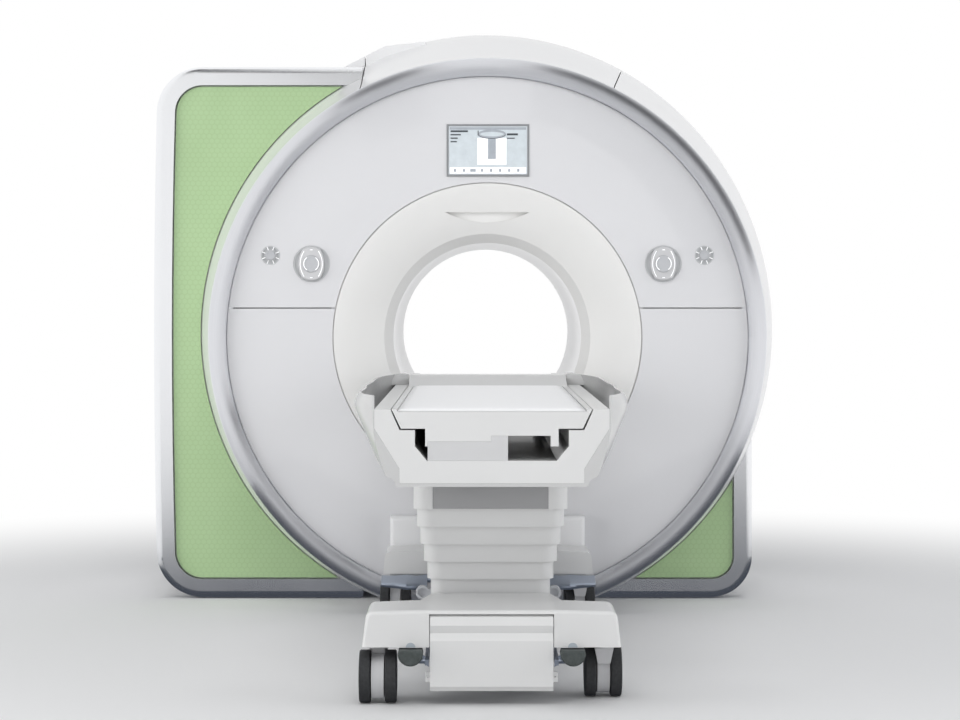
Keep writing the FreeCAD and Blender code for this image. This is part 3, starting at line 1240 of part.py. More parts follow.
# ---------------------------------------------------------------- pedals
def front_pedal():
    """Brake pedal: a cross shaft, two arms, and two rubber pads on stubs with sloping webs."""
    bar = rod_x(FRONT_SHAFT_Y, FRONT_SHAFT_Z, SHAFT_R, -ARM_HALF_X, ARM_HALF_X)
    heel = FRONT_SHAFT_Y + ARM_H / 2 + 2
    nose = PEDAL_NEAR + 10
    stub_y = (PEDAL_NEAR + PEDAL_FAR) / 2
    stub_z = FRONT_SHAFT_Z - STUB_R
    stub_end = PEDAL_X + STUB_R
    inner = ARM_HALF_X - ARM_T
    profile = [
        (heel, FRONT_SHAFT_Z - ARM_H / 2),
        (heel, FRONT_SHAFT_Z + ARM_H / 2),
        (PEDAL_FAR - 10, FRONT_SHAFT_Z + 2),
        (nose, FRONT_SHAFT_Z - 2),
        (nose, FRONT_SHAFT_Z - 18),
        (PEDAL_FAR, FRONT_SHAFT_Z - 20),
    ]
    pads = []
    for side in (-1, 1):
        x0, x1 = sorted((side * inner, side * ARM_HALF_X))
        x2, x3 = sorted((side * inner, side * stub_end))
        arm = prism_x(profile, x0, x1).fuse(rod_x(stub_y, stub_z, STUB_R, x2, x3))
        bar = bar.fuse(arm).fuse(pedal_web(side, 0))
        seat_x0, seat_x1 = sorted((side * inner, side * (stub_end + SEAT)))
        seat = rod_x(stub_y, stub_z, STUB_R + SEAT, seat_x0, seat_x1)
        pads.append(pedal_pad(side * PEDAL_X).cut(seat).cut(pedal_web(side, SEAT)))
    save("front_pedal_bar", bar)
    save("front_pedal_pads", Part.makeCompound(pads))


def pedal_web(side, grow):
    """Sloping metal web between an arm and its pad, grown by a margin."""
    inner = side * (ARM_HALF_X - ARM_T)
    outer = side * (PEDAL_X - PEDAL_HALF_X + WEB_BITE + grow)
    high = WEB_LOW + WEB_RISE
    outline = [
        (inner, WEB_LOW - grow),
        (outer, high - grow),
        (outer, high + WEB_H + grow),
        (inner, WEB_LOW + WEB_H + grow),
    ]
    return prism_y(outline, WEB_NEAR - grow, WEB_NEAR + WEB_T + grow)


def pedal_pad(x):
    """Pad like a bowl cut in half: a flat top, a short upright rim and a rounded underside."""
    edge = PEDAL_TOP - PEDAL_RIM
    left = V(x - PEDAL_HALF_X + 3, PEDAL_NEAR, PEDAL_TOP)
    right = V(x + PEDAL_HALF_X - 3, PEDAL_NEAR, PEDAL_TOP)
    rim_left = V(x - PEDAL_HALF_X, PEDAL_NEAR, edge)
    rim_right = V(x + PEDAL_HALF_X, PEDAL_NEAR, edge)
    low = V(x, PEDAL_NEAR, PEDAL_TOP - PEDAL_DROP)
    lines = [Part.makeLine(rim_right, right), Part.makeLine(right, left), Part.makeLine(left, rim_left)]
    outline = Part.Wire([Part.Arc(rim_left, low, rim_right).toShape()] + lines)
    pad = Part.Face(outline).extrude(V(0, PEDAL_FAR - PEDAL_NEAR, 0))
    return pad.makeChamfer(PEDAL_CHAMFER, front_rim(pad, PEDAL_NEAR))


def rear_pedal():
    """Steering pedal: two broad metal wings with sloping tops on one cross shaft."""
    root = WING_SECTIONS[0][0]
    bar = rod_x(REAR_SHAFT_Y, REAR_SHAFT_Z, SHAFT_R, -root - 10, root + 10)
    for side in (-1, 1):
        sections = []
        for x, low, lip, high, draw in WING_SECTIONS:
            near = WING_NEAR + draw
            under = [(near, low + 7), (near + 8, low), (WING_FAR, low + 14)]
            over = [(WING_FAR, high), (near + 9, lip), (near, lip - 6)]
            points = [V(side * x, a, b) for a, b in under + over]
            sections.append(Part.makePolygon(points + points[:1]))
        bar = bar.fuse(Part.makeLoft(sections, True, True))
    save("rear_pedal_bar", bar)


def main():
    """Builds every piece."""
    os.makedirs("parts", exist_ok=True)
    magnet()
    magnet_feet()
    funnel()
    face_panels()
    front_ring()
    display()
    controls()
    shell()
    rear_cover()
    side_housing(-1, "left")
    side_housing(1, "right")
    turret_cover()
    tunnel_bridge()
    docking_housing()
    table_body()
    tabletop()
    mattress()
    table_shroud()
    for k in range(1, COVER_COUNT + 1):
        column_cover(k)
    lift()
    base_covers()
    drop_panel()
    chassis()
    for x_side, x_name in ((-1, "left"), (1, "right")):
        trail = x_side * CASTOR_TRAIL
        castor(x_side * CASTOR_X, FRONT_CASTOR_Y, trail, "front_" + x_name)
        castor(x_side * CASTOR_X, REAR_CASTOR_Y, trail, "rear_" + x_name)
    front_pedal()
    rear_pedal()


main()
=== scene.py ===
import json
import math

import bmesh
import bpy
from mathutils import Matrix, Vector


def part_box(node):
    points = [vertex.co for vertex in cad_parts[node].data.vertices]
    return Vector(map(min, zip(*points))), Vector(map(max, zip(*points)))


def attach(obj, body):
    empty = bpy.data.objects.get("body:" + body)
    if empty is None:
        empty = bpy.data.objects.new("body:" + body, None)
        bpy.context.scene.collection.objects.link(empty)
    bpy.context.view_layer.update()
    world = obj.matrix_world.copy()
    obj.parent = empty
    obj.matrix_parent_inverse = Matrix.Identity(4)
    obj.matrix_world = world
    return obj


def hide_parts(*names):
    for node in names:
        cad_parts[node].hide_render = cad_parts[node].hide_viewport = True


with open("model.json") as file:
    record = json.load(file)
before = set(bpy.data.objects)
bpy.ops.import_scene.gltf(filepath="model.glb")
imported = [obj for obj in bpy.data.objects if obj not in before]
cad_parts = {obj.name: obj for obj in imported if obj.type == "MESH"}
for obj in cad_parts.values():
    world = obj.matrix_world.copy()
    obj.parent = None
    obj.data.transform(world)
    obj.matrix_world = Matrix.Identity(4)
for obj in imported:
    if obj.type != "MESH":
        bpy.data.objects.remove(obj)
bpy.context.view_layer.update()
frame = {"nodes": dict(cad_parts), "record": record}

# ---------------------------------------------------------------- sizes and places, in metres
BORE_Z = 1.014  # height of the tunnel's axis
INLAY = 0.0004  # thickness of an inlay, which stands that far over its carrier
SIDES = ((-1, "left"), (1, "right"))

# Pad, in shares of its own height, length and half width
PAD_STEPS_ALONG, PAD_STEPS_ACROSS = 120, 24
PAD_EDGE = 0.38  # height of the welted edge
PAD_CROWN = 0.12  # fall of the top from the middle to the sides
PAD_SIDE_RISE, PAD_END_RISE = 12, 60  # how fast it rises in from its sides and ends
PAD_CHANNELS = 4
CHANNEL_DEPTH = 0.25
CHANNEL_WIDTH = 0.012  # of the way from one channel to the next

# Picture on the display, in shares of the screen's width and height from its middle.
# A bar is its middle across and up, then its width and height.
SHEET_BAR = (0.0, 0.0, 0.97, 0.96)
TITLE_BAR = (0.0, 0.452, 0.97, 0.05)
DRAWING_X = 0.05
DRAWING_BAR = (DRAWING_X, -0.02, 0.37, 0.56)
DRAWN_TABLE_BAR = (DRAWING_X, 0.03, 0.10, 0.42)
DRAWN_POLE_BAR = (DRAWING_X - 0.175, 0.36, 0.010, 0.10)
DRAWN_RING_Z, DRAWN_RING_R = 0.335, 0.18
DRAWN_RING_PRESS = 0.33  # height of the drawn tunnel's ring as a share of its width
DRAWN_RING_WIDTH, DRAWN_LINE_WIDTH = 0.030, 0.008
LINE_LENGTHS = (0.22, 0.13, 0.09, 0.08)
LINE_LEFT, LINE_TOP, LINE_STEP = -0.475, 0.395, 0.072
LINE_HEIGHT, FIRST_LINE_HEIGHT = 0.026, 0.036
RIGHT_BARS = ((0.31, 0.33, 0.14, 0.040), (0.29, 0.25, 0.10, 0.020))
KEYS, LONG_KEY = 8, 2
KEYS_LEFT, KEYS_Z, KEY_STEP = -0.42, -0.415, 0.115
KEY_LENGTH, LONG_KEY_LENGTH, KEY_HEIGHT = 0.03, 0.07, 0.06
KEY_FIELD_BAR = (0.0, KEYS_Z, 0.97, 0.13)

# Controls on each side of the tunnel: a dial round a push button, and a call button farther out
DIAL_X, DIAL_Z = 0.646, 1.284
PUSH_R = 0.031
PUSH_ARC_INSET, PUSH_ARC_WIDTH = 0.002, 0.0032
PUSH_ARC_HALF = 55  # degrees up and down from the level
DIAL_LINE_X, DIAL_LINE_BEND, DIAL_LINE_WIDTH = 0.0405, 6.6, 0.0026
DIAL_LINE_STEPS, DIAL_LINE_STEP = 6, 0.0078  # up and down from the middle
DIAL_MARK_Z, DIAL_MARK_SIZE = 0.051, (0.010, 0.0024)
CALL_X, CALL_Z, CALL_R = 0.797, 1.315, 0.035
SPOKES = 8
SPOKE_NEAR_R, SPOKE_INSET, SPOKE_WIDTH = 0.0205, 0.0015, 0.003

# Inlays of the table
PLATE_HALF_X, PLATE_SINK, PLATE_MARGIN = 0.1735, 0.002, 0.002
STOP_X, STOP_Z, STOP_R = 0.230, 0.1682, 0.0136
STOP_STEPS = 20

# Coloured panel
HEXAGON = 0.021  # width across the flats of one cell
HEXAGON_LINE = (0.40, 0.49)  # where the line between cells starts and is full, in cells from their middle
GREEN, GREEN_LINE = (0.425, 0.590, 0.325), (0.375, 0.530, 0.285)

# Studio
MIDDLE_Y = -0.95  # of the magnet and the table together
FLOOR_REACH, FLOOR_SHADE = 30.0, 0.81
FADE_START, FADE_END = 1.9, 4.6  # how far from that middle the floor starts to fade and is white
WORLD_COLOR, WORLD_STRENGTH = (0.95, 0.97, 1.0, 1), 0.37
WHITE = (1, 1, 1, 1)
# bluish tint of the dark cards, the colour of the painted reflections they put in the metal
CARD_TINT = (1.0, 1.12, 1.4)
CARD_NEAR_R, CARD_R = 1.3, 5.5  # of the hoops that cards lie on, round the tunnel's axis
CARD_FRONT_Y, CARD_BACK_Y = -5.0, -0.9
CARD_STEPS = 12
CARD_LIFT = 0.004  # of the floor's card over the floor

# Camera, its lens and sensor in millimetres
CAMERA_PLACE = (-0.053, -9.0, 1.162)
CAMERA_LENS, CAMERA_SENSOR = 84.34, 36.0
CAMERA_SHIFT = (0.0073, -0.0656)


# ---------------------------------------------------------------- node helpers
class Tree:
    """A node tree with short calls for the nodes used here."""

    def __init__(self, tree):
        self.tree = tree

    def add(self, kind, **values):
        """New node with its settings."""
        node = self.tree.nodes.new(kind)
        for key, value in values.items():
            setattr(node, key, value)
        return node

    def link(self, source, target):
        """Joins an output to an input."""
        self.tree.links.new(source, target)

    def calc(self, operation, a, b=0.0):
        """Maths node on two values or outputs."""
        node = self.add("ShaderNodeMath", operation=operation)
        for socket, value in zip(node.inputs, (a, b)):
            if isinstance(value, (int, float)):
                socket.default_value = value
            else:
                self.link(value, socket)
        return node.outputs[0]

    def seen(self):
        """1 for rays from the camera, also by way of a mirror or glass, and 0 for the rest."""
        path = self.add("ShaderNodeLightPath")
        bent = self.calc("MAXIMUM", path.outputs["Is Glossy Ray"], path.outputs["Is Transmission Ray"])
        return self.calc("MAXIMUM", path.outputs["Is Camera Ray"], bent)

    def mix(self, factor, first, second, output):
        """Blend of two shaders, led to the tree's output node."""
        node = self.add("ShaderNodeMixShader")
        self.link(factor, node.inputs["Fac"])
        self.link(first, node.inputs[1])
        self.link(second, node.inputs[2])
        self.link(node.outputs["Shader"], self.tree.nodes[output].inputs["Surface"])


class Finish(Tree):
    """A new material and its shader."""

    def __init__(self, name):
        self.material = bpy.data.materials.new(name)
        self.material.use_nodes = True
        super().__init__(self.material.node_tree)
        self.shader = self.tree.nodes["Principled BSDF"]

    def set(self, **values):
        """Constant values on the shader."""
        for key, value in values.items():
            self.shader.inputs[key.replace("_", " ")].default_value = value

    def drive(self, name, source):
        """Joins an output to one of the shader's inputs."""
        self.link(source, self.shader.inputs[name])

    def place(self):
        """Point in the object's own frame, which is the world's at rest."""
        return self.add("ShaderNodeTexCoord").outputs["Object"]

    def axes(self):
        """That point's X, Y and Z."""
        node = self.add("ShaderNodeSeparateXYZ")
        self.link(self.place(), node.inputs[0])
        return tuple(node.outputs)

    def vector(self, **parts):
        """Vector with the given X, Y or Z, and zero for the rest."""
        node = self.add("ShaderNodeCombineXYZ")
        for axis, source in parts.items():
            self.link(source, node.inputs[axis])
        return node.outputs[0]

    def radius(self, a, b):
        """Length of two legs at right angles."""
        squares = self.calc("ADD", self.calc("MULTIPLY", a, a), self.calc("MULTIPLY", b, b))
        return self.calc("SQRT", squares)

    def noise(self, scale, detail=3.0, stretch=(1, 1, 1), where=None):
        """Noise texture, stretched along the axes."""
        mapping = self.add("ShaderNodeMapping")
        mapping.inputs["Scale"].default_value = stretch
        self.link(where or self.place(), mapping.inputs["Vector"])
        texture = self.add("ShaderNodeTexNoise")
        texture.inputs["Scale"].default_value = scale
        texture.inputs["Detail"].default_value = detail
        self.link(mapping.outputs["Vector"], texture.inputs["Vector"])
        return texture.outputs["Fac"]

    def ramp(self, factor, low, high, start=0.3, end=0.7):
        """Blend of two colours by a factor."""
        ramp = self.add("ShaderNodeValToRGB")
        for element, position, color in zip(ramp.color_ramp.elements, (start, end), (low, high)):
            element.position = position
            element.color = (*color, 1)
        self.link(factor, ramp.inputs["Fac"])
        return ramp.outputs["Color"]

    def span(self, factor, low, high):
        """Factor from 0 to 1 spread between two values."""
        node = self.add("ShaderNodeMapRange")
        node.inputs["To Min"].default_value = low
        node.inputs["To Max"].default_value = high
        self.link(factor, node.inputs["Value"])
        return node.outputs["Result"]

    def soft_step(self, source, start, end):
        """Smooth rise from 0 at one value to 1 at another."""
        node = self.add("ShaderNodeMapRange", interpolation_type="SMOOTHSTEP")
        node.inputs["From Min"].default_value = start
        node.inputs["From Max"].default_value = end
        self.link(source, node.inputs["Value"])
        return node.outputs["Result"]

    def bump(self, height, strength, distance):
        """Bump on the shader's normal."""
        node = self.add("ShaderNodeBump")
        node.inputs["Strength"].default_value = strength
        node.inputs["Distance"].default_value = distance
        self.link(height, node.inputs["Height"])
        self.drive("Normal", node.outputs["Normal"])


# ---------------------------------------------------------------- finishes
def tint(color, factor):
    """A colour made lighter or darker."""
    return tuple(min(c * factor, 1.0) for c in color)


def moulded(name, color, rough=0.3, coat=0.0, vary=0.03):
    """Moulded or painted plastic: faint cloudy colour, uneven gloss and a fine orange-peel surface."""
    m = Finish(name)
    cloud = m.noise(scale=2.2, detail=4.0)
    m.drive("Base Color", m.ramp(cloud, tint(color, 1 - vary), tint(color, 1 + vary)))
    m.drive("Roughness", m.span(m.noise(scale=9.0), rough * (1 - vary), rough * (1 + vary)))
    m.bump(m.noise(scale=260.0, detail=2.0), strength=0.25, distance=0.00012)
    m.set(Coat_Weight=coat, Coat_Roughness=0.06)
    return m.material


def metal(name, color, rough, metallic=1.0, stretch=(1, 1, 1)):
    """Satin metal with a fine grain, brushed where the grain is stretched."""
    m = Finish(name)
    grain = m.noise(scale=500.0, stretch=stretch)
    m.drive("Base Color", m.ramp(grain, tint(color, 0.97), tint(color, 1.03)))
    m.drive("Roughness", m.span(m.noise(scale=6.0, detail=4.0), rough * 0.85, rough * 1.15))
    m.bump(grain, strength=0.04, distance=0.0001)
    m.set(Metallic=metallic)
    return m.material


def ring_metal(name, color):
    """Metal turned about the tunnel's axis: its grain runs round the ring and draws its shine across it."""
    m = Finish(name)
    x, y, z = m.axes()
    z = m.calc("SUBTRACT", z, BORE_Z)
    outward = m.add("ShaderNodeVectorMath", operation="NORMALIZE")
    m.link(m.vector(X=x, Z=z), outward.inputs[0])
    m.drive("Tangent", outward.outputs["Vector"])
    grain = m.noise(scale=700.0, detail=2.0, where=m.vector(X=m.radius(x, z), Y=y))
    m.drive("Base Color", m.ramp(grain, tint(color, 0.97), tint(color, 1.02)))
    m.drive("Roughness", m.span(m.noise(scale=5.0, detail=4.0), 0.36, 0.40))
    m.bump(grain, strength=0.06, distance=0.0001)
    m.set(Metallic=1.0, Anisotropic=0.95)
    return m.material


def green_panel(name):
    """Coloured side panel under a clear coat, with a fine pattern of hexagons."""
    m = Finish(name)
    x, _, z = m.axes()
    x = m.calc("DIVIDE", x, HEXAGON)
    z = m.calc("DIVIDE", z, HEXAGON)
    root3 = math.sqrt(3)

    def from_cell(offset):
        """Distance from the nearest cell's middle, in one of the two sets of rows."""
        across = m.calc("FLOORED_MODULO", m.calc("ADD", x, offset), 1.0)
        up = m.calc("FLOORED_MODULO", m.calc("ADD", z, offset * root3), root3)
        across = m.calc("ABSOLUTE", m.calc("SUBTRACT", across, 0.5))
        up = m.calc("ABSOLUTE", m.calc("SUBTRACT", up, root3 / 2))
        slanted = m.calc("ADD", m.calc("MULTIPLY", across, 0.5), m.calc("MULTIPLY", up, root3 / 2))
        return m.calc("MAXIMUM", across, slanted)

    line = m.soft_step(m.calc("MINIMUM", from_cell(0.0), from_cell(0.5)), *HEXAGON_LINE)
    cloud = m.add("ShaderNodeMix", data_type="RGBA", blend_type="MULTIPLY")
    cloud.inputs["Factor"].default_value = 1.0
    m.link(m.ramp(line, GREEN, GREEN_LINE, start=0.0, end=1.0), cloud.inputs["A"])
    m.link(m.ramp(m.noise(scale=6.0), (0.95, 0.96, 0.94), (1, 1, 1)), cloud.inputs["B"])
    m.drive("Base Color", cloud.outputs["Result"])
    m.drive("Roughness", m.span(m.noise(scale=8.0), 0.38, 0.46))
    m.bump(line, strength=0.15, distance=0.0004)
    m.set(Coat_Weight=0.25, Coat_Roughness=0.2)
    return m.material


def rubber(name, color, rough=0.7):
    """Dull rubber with a fine speckle."""
    m = Finish(name)
    m.drive("Base Color", m.ramp(m.noise(scale=120.0, detail=5.0), tint(color, 0.8), tint(color, 1.25)))
    m.drive("Roughness", m.span(m.noise(scale=30.0), rough * 0.9, rough * 1.1))
    m.bump(m.noise(scale=500.0, detail=4.0), strength=0.3, distance=0.0002)
    return m.material


def lit(name, color, strength):
    """Lit inlay: a light plastic window with a faint unevenness."""
    m = Finish(name)
    shade = m.ramp(m.noise(scale=40.0), tint(color, 0.95), tint(color, 1.05))
    m.drive("Base Color", shade)
    m.drive("Emission Color", shade)
    m.set(Emission_Strength=strength, Roughness=0.25)
    return m.material


def pad_cloth(name):
    """Coated fabric of the pad: a very fine weave with a soft sheen."""
    m = Finish(name)
    warp = m.noise(scale=900.0, detail=1.0, stretch=(1, 0.08, 1))
    weft = m.noise(scale=900.0, detail=1.0, stretch=(0.08, 1, 1))
    weave = m.calc("MULTIPLY", warp, weft)
    m.drive("Base Color", m.ramp(weave, (0.90, 0.90, 0.905), (0.95, 0.95, 0.955), start=0.1, end=0.45))
    m.drive("Roughness", m.span(m.noise(scale=12.0), 0.45, 0.6))
    m.bump(weave, strength=0.3, distance=0.0003)
    m.set(Sheen_Weight=0.2)
    return m.material


LOOKS = {}


def look(maker, name, *values, **named):
    """Makes a material and keeps it under its name."""
    LOOKS[name] = maker(name, *values, **named)


# Material slots of the record
look(metal, "inner_steel", (0.60, 0.61, 0.63), rough=0.4)
look(moulded, "coil_resin", (0.60, 0.50, 0.30), rough=0.5, vary=0.08)
look(moulded, "bore_white", (0.91, 0.91, 0.915), coat=0.2, vary=0.01)
look(moulded, "funnel_white", (0.80, 0.795, 0.78), rough=0.28, coat=0.25, vary=0.008)
look(moulded, "face_gloss", (0.69, 0.69, 0.705), rough=0.2, coat=0.7, vary=0.01)
look(ring_metal, "ring_metal", (0.85, 0.86, 0.895))
look(metal, "frame_metal", (0.90, 0.91, 0.93), rough=0.26)
look(moulded, "dark_trim", (0.26, 0.27, 0.28))
look(moulded, "display", (0.66, 0.70, 0.74), rough=0.15, coat=0.5)
look(moulded, "control_silver", (0.52, 0.53, 0.54), coat=0.3, vary=0.06)
look(moulded, "control_grip", (0.58, 0.58, 0.59), coat=0.3, vary=0.05)
look(moulded, "control_button", (0.50, 0.51, 0.53), rough=0.22, coat=0.5, vary=0.06)
look(moulded, "shell_white", (0.84, 0.84, 0.845), coat=0.3, vary=0.01)
look(green_panel, "panel_green")
look(moulded, "table_white", (0.71, 0.71, 0.705), rough=0.32, coat=0.25, vary=0.012)
look(moulded, "table_grey", (0.62, 0.62, 0.625), rough=0.4, vary=0.012)
look(pad_cloth, "pad_white")
look(moulded, "shroud_white", (0.56, 0.56, 0.558), rough=0.26, coat=0.35, vary=0.012)
look(metal, "rod_chrome", (0.80, 0.80, 0.82), rough=0.12)
look(moulded, "chassis_paint", (0.55, 0.56, 0.58), rough=0.45, vary=0.06)
look(moulded, "castor_grey", (0.56, 0.56, 0.57), rough=0.35)
look(rubber, "tyre_grey", (0.035, 0.036, 0.038))
look(metal, "pedal_metal", (0.42, 0.47, 0.56), rough=0.3, metallic=0.85, stretch=(1, 12, 12))
look(rubber, "pedal_rubber", (0.06, 0.07, 0.068), rough=0.55)

# Inlays
look(lit, "lamp_white", (0.95, 0.95, 0.97), strength=0.35)
look(lit, "screen_sheet", (0.55, 0.60, 0.63), strength=0.18)
look(lit, "screen_white", (0.95, 0.96, 0.98), strength=0.25)
look(lit, "screen_grey", (0.38, 0.41, 0.45), strength=0.08)
look(moulded, "screen_dark", (0.06, 0.07, 0.08))
# grey of the column plate, partly its own darker grey and partly painted shade of the recess it sits in
look(moulded, "plate_grey", (0.36, 0.36, 0.365), rough=0.4)
look(moulded, "stop_blue", (0.42, 0.47, 0.51), rough=0.35)


# ---------------------------------------------------------------- object helpers
def add_object(name, data):
    """New object in the scene."""
    thing = bpy.data.objects.new(name, data)
    bpy.context.collection.objects.link(thing)
    return thing


def piece(name, mesh, body, finish):
    """Adds a mesh as a named piece that moves with a body."""
    thing = add_object(name, mesh)
    mesh.materials.append(LOOKS[finish])
    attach(thing, body)
    return thing


def new_mesh(name, shape, smooth=False):
    """Mesh of a finished bmesh shape, with its faces turned outward."""
    bmesh.ops.recalc_face_normals(shape, faces=shape.faces)
    for face in shape.faces:
        face.smooth = smooth
    mesh = bpy.data.meshes.new(name)
    shape.to_mesh(mesh)
    shape.free()
    return mesh


def inlay(name, outlines, carrier_y, body, finish):
    """Thin plates from outlines in X and Z, on a carrier's front plane."""
    front_y = carrier_y - INLAY
    shape = bmesh.new()
    for outline in outlines:
        front = [shape.verts.new((x, front_y, z)) for x, z in outline]
        back = [shape.verts.new((x, front_y + INLAY, z)) for x, z in outline]
        shape.faces.new(front)
        shape.faces.new(list(reversed(back)))
        for i in range(len(outline)):
            j = (i + 1) % len(outline)
            shape.faces.new((front[j], front[i], back[i], back[j]))
    piece(name, new_mesh(name, shape), body, finish)


def rect(x, z, w, h):
    """Rectangle about a middle point."""
    left, right, low, high = x - w / 2, x + w / 2, z - h / 2, z + h / 2
    return [(left, low), (right, low), (right, high), (left, high)]


def arc_band(x, z, r, width, start, end, steps=20, press=1.0):
    """Part of a flat ring between two angles in degrees, round or pressed to a share of its height."""
    angles = [math.radians(start + (end - start) * i / steps) for i in range(steps + 1)]
    outer = [(x + r * math.cos(a), z + r * press * math.sin(a)) for a in angles]
    low_r = r * press - width
    inner = [(x + (r - width) * math.cos(a), z + low_r * math.sin(a)) for a in reversed(angles)]
    return outer + inner


def strip(points, width):
    """Narrow line of even width along a run of points."""
    left, right = [], []
    for i, (x, z) in enumerate(points):
        x0, z0 = points[max(i - 1, 0)]
        x1, z1 = points[min(i + 1, len(points) - 1)]
        scale = width / 2 / math.hypot(x1 - x0, z1 - z0)
        across, up = (z0 - z1) * scale, (x1 - x0) * scale
        left.append((x + across, z + up))
        right.append((x - across, z - up))
    return left + right[::-1]


# ---------------------------------------------------------------- carried-over solids
def dress_solids():
    """Gives every CAD solid its slot's material."""
    slots = {row["node"]: row["material_slot"] for row in frame["record"]["subparts"]}
    for node, thing in frame["nodes"].items():
        for holder in thing.material_slots:
            holder.material = LOOKS[slots[node]]


# ---------------------------------------------------------------- pad
def pad_height(along, across):
    """Share of the whole height that the pad's top has, at 0 to 1 along it and -1 to 1 across it."""
    edge = min((1 - abs(across)) * PAD_SIDE_RISE, min(along, 1 - along) * PAD_END_RISE, 1.0)
    swell = math.sqrt(max(1 - (1 - edge) ** 2, 0.0))
    from_channel = ((along * PAD_CHANNELS) % 1 - 0.5) / CHANNEL_WIDTH
    channel = CHANNEL_DEPTH * math.exp(-from_channel ** 2)
    return PAD_EDGE + (1 - PAD_EDGE) * swell * (1 - channel) * (1 - PAD_CROWN * across * across)


def pad():
    """Thin stuffed pad: a crowned cushion whose sides draw in, with welted edges and sewn cross channels."""
    low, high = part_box("mattress")
    rows, columns = PAD_STEPS_ALONG, PAD_STEPS_ACROSS
    shape = bmesh.new()
    top, under = [], []
    for i in range(rows + 1):
        along = i / rows
        y = low[1] + (high[1] - low[1]) * along
        top.append([])
        under.append([])
        for j in range(columns + 1):
            across = j / columns * 2 - 1
            x = (low[0] + high[0]) / 2 + across * (high[0] - low[0]) / 2
            z = low[2] + (high[2] - low[2]) * pad_height(along, across)
            top[i].append(shape.verts.new((x, y, z)))
            under[i].append(shape.verts.new((x, y, low[2])))
    for i in range(rows):
        for j in range(columns):
            shape.faces.new((top[i][j], top[i][j + 1], top[i + 1][j + 1], top[i + 1][j]))
            shape.faces.new((under[i][j], under[i + 1][j], under[i + 1][j + 1], under[i][j + 1]))
    for i in range(rows):
        for j in (0, columns):
            shape.faces.new((top[i][j], top[i + 1][j], under[i + 1][j], under[i][j]))
    for j in range(columns):
        for i in (0, rows):
            shape.faces.new((top[i][j], top[i][j + 1], under[i][j + 1], under[i][j]))
    thing = piece("pad", new_mesh("pad", shape, smooth=True), "sliding_top", "pad_white")
    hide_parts("mattress")


# ---------------------------------------------------------------- display
def display_picture():
    """Generic screen picture: a drawn table and tunnel with plain bars beside it, over a row of keys."""
    low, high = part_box("display_screen")
    x, z = (low[0] + high[0]) / 2, (low[2] + high[2]) / 2
    w, h = high[0] - low[0], high[2] - low[2]

    def bar(across, up, length, height):
        """Rectangle from its shares of the screen."""
        return rect(x + w * across, z + h * up, w * length, h * height)

    def ring(width, start, end, steps):
        """Stretch of the drawn tunnel's ring, between two angles."""
        middle = x + w * DRAWING_X, z + h * DRAWN_RING_Z
        return arc_band(*middle, w * DRAWN_RING_R, w * width, start, end, steps, DRAWN_RING_PRESS)

    keys = []
    for k in range(KEYS):
        length = LONG_KEY_LENGTH if k == LONG_KEY else KEY_LENGTH
        keys.append(bar(KEYS_LEFT + KEY_STEP * k, KEYS_Z, length, KEY_HEIGHT))
    lines = []
    for k, length in enumerate(LINE_LENGTHS):
        height = LINE_HEIGHT if k else FIRST_LINE_HEIGHT
        lines.append(bar(LINE_LEFT + length / 2, LINE_TOP - LINE_STEP * k, length, height))
    right = [bar(*shares) for shares in RIGHT_BARS]
    whole_ring = ring(DRAWN_RING_WIDTH, start=0, end=360, steps=40)
    near_edge = ring(DRAWN_LINE_WIDTH, start=190, end=350, steps=20)
    layers = (
        ("screen_sheet", "screen_sheet", [bar(*SHEET_BAR)]),
        ("screen_fields", "screen_white", [bar(*DRAWING_BAR), bar(*KEY_FIELD_BAR)]),
        ("screen_keys", "screen_grey", [bar(*DRAWN_TABLE_BAR), bar(*TITLE_BAR), whole_ring, *keys]),
        ("screen_marks", "screen_dark", [near_edge, bar(*DRAWN_POLE_BAR), *lines, *right]),
    )
    for level, (name, finish, outlines) in enumerate(layers):
        inlay(name, outlines, low[1] - level * INLAY, "gantry", finish)


# ---------------------------------------------------------------- lit lines of the controls
def push_lights(side, name):
    """Arcs left and right on a push button."""
    low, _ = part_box(name + "_dial_button")
    arcs = []
    for level in (180, 360):
        start, end = level - PUSH_ARC_HALF, level + PUSH_ARC_HALF
        arcs.append(arc_band(side * DIAL_X, DIAL_Z, PUSH_R - PUSH_ARC_INSET, PUSH_ARC_WIDTH, start, end))
    inlay(name + "_push_lights", arcs, low[1], name + "_push", "lamp_white")


def dial_lines(side, name):
    """Bent lines left and right of a push button on its dial, and short marks over and under it."""
    low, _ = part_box(name + "_dial")
    x = side * DIAL_X
    rises = [DIAL_LINE_STEP * k for k in range(-DIAL_LINE_STEPS, DIAL_LINE_STEPS + 1)]
    lines = []
    for way in (-1, 1):
        path = [(x + way * (DIAL_LINE_X - DIAL_LINE_BEND * rise ** 2), DIAL_Z + rise) for rise in rises]
        lines.append(strip(path, DIAL_LINE_WIDTH))
    for way in (-1, 1):
        lines.append(rect(x, DIAL_Z + way * DIAL_MARK_Z, *DIAL_MARK_SIZE))
    inlay(name + "_dial_lines", lines, low[1], name + "_rotary_control", "lamp_white")


def call_lights(side, name):
    """Spokes round a call button."""
    low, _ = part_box("control_rings")
    spokes = []
    for k in range(SPOKES):
        angle = math.tau * (k + 0.5) / SPOKES
        across, up = math.cos(angle), math.sin(angle)
        radii = (SPOKE_NEAR_R, CALL_R - SPOKE_INSET)
        ends = [(side * CALL_X + r * across, CALL_Z + r * up) for r in radii]
        spokes.append(strip(ends, SPOKE_WIDTH))
    inlay(name + "_call_lights", spokes, low[1], "gantry", "lamp_white")


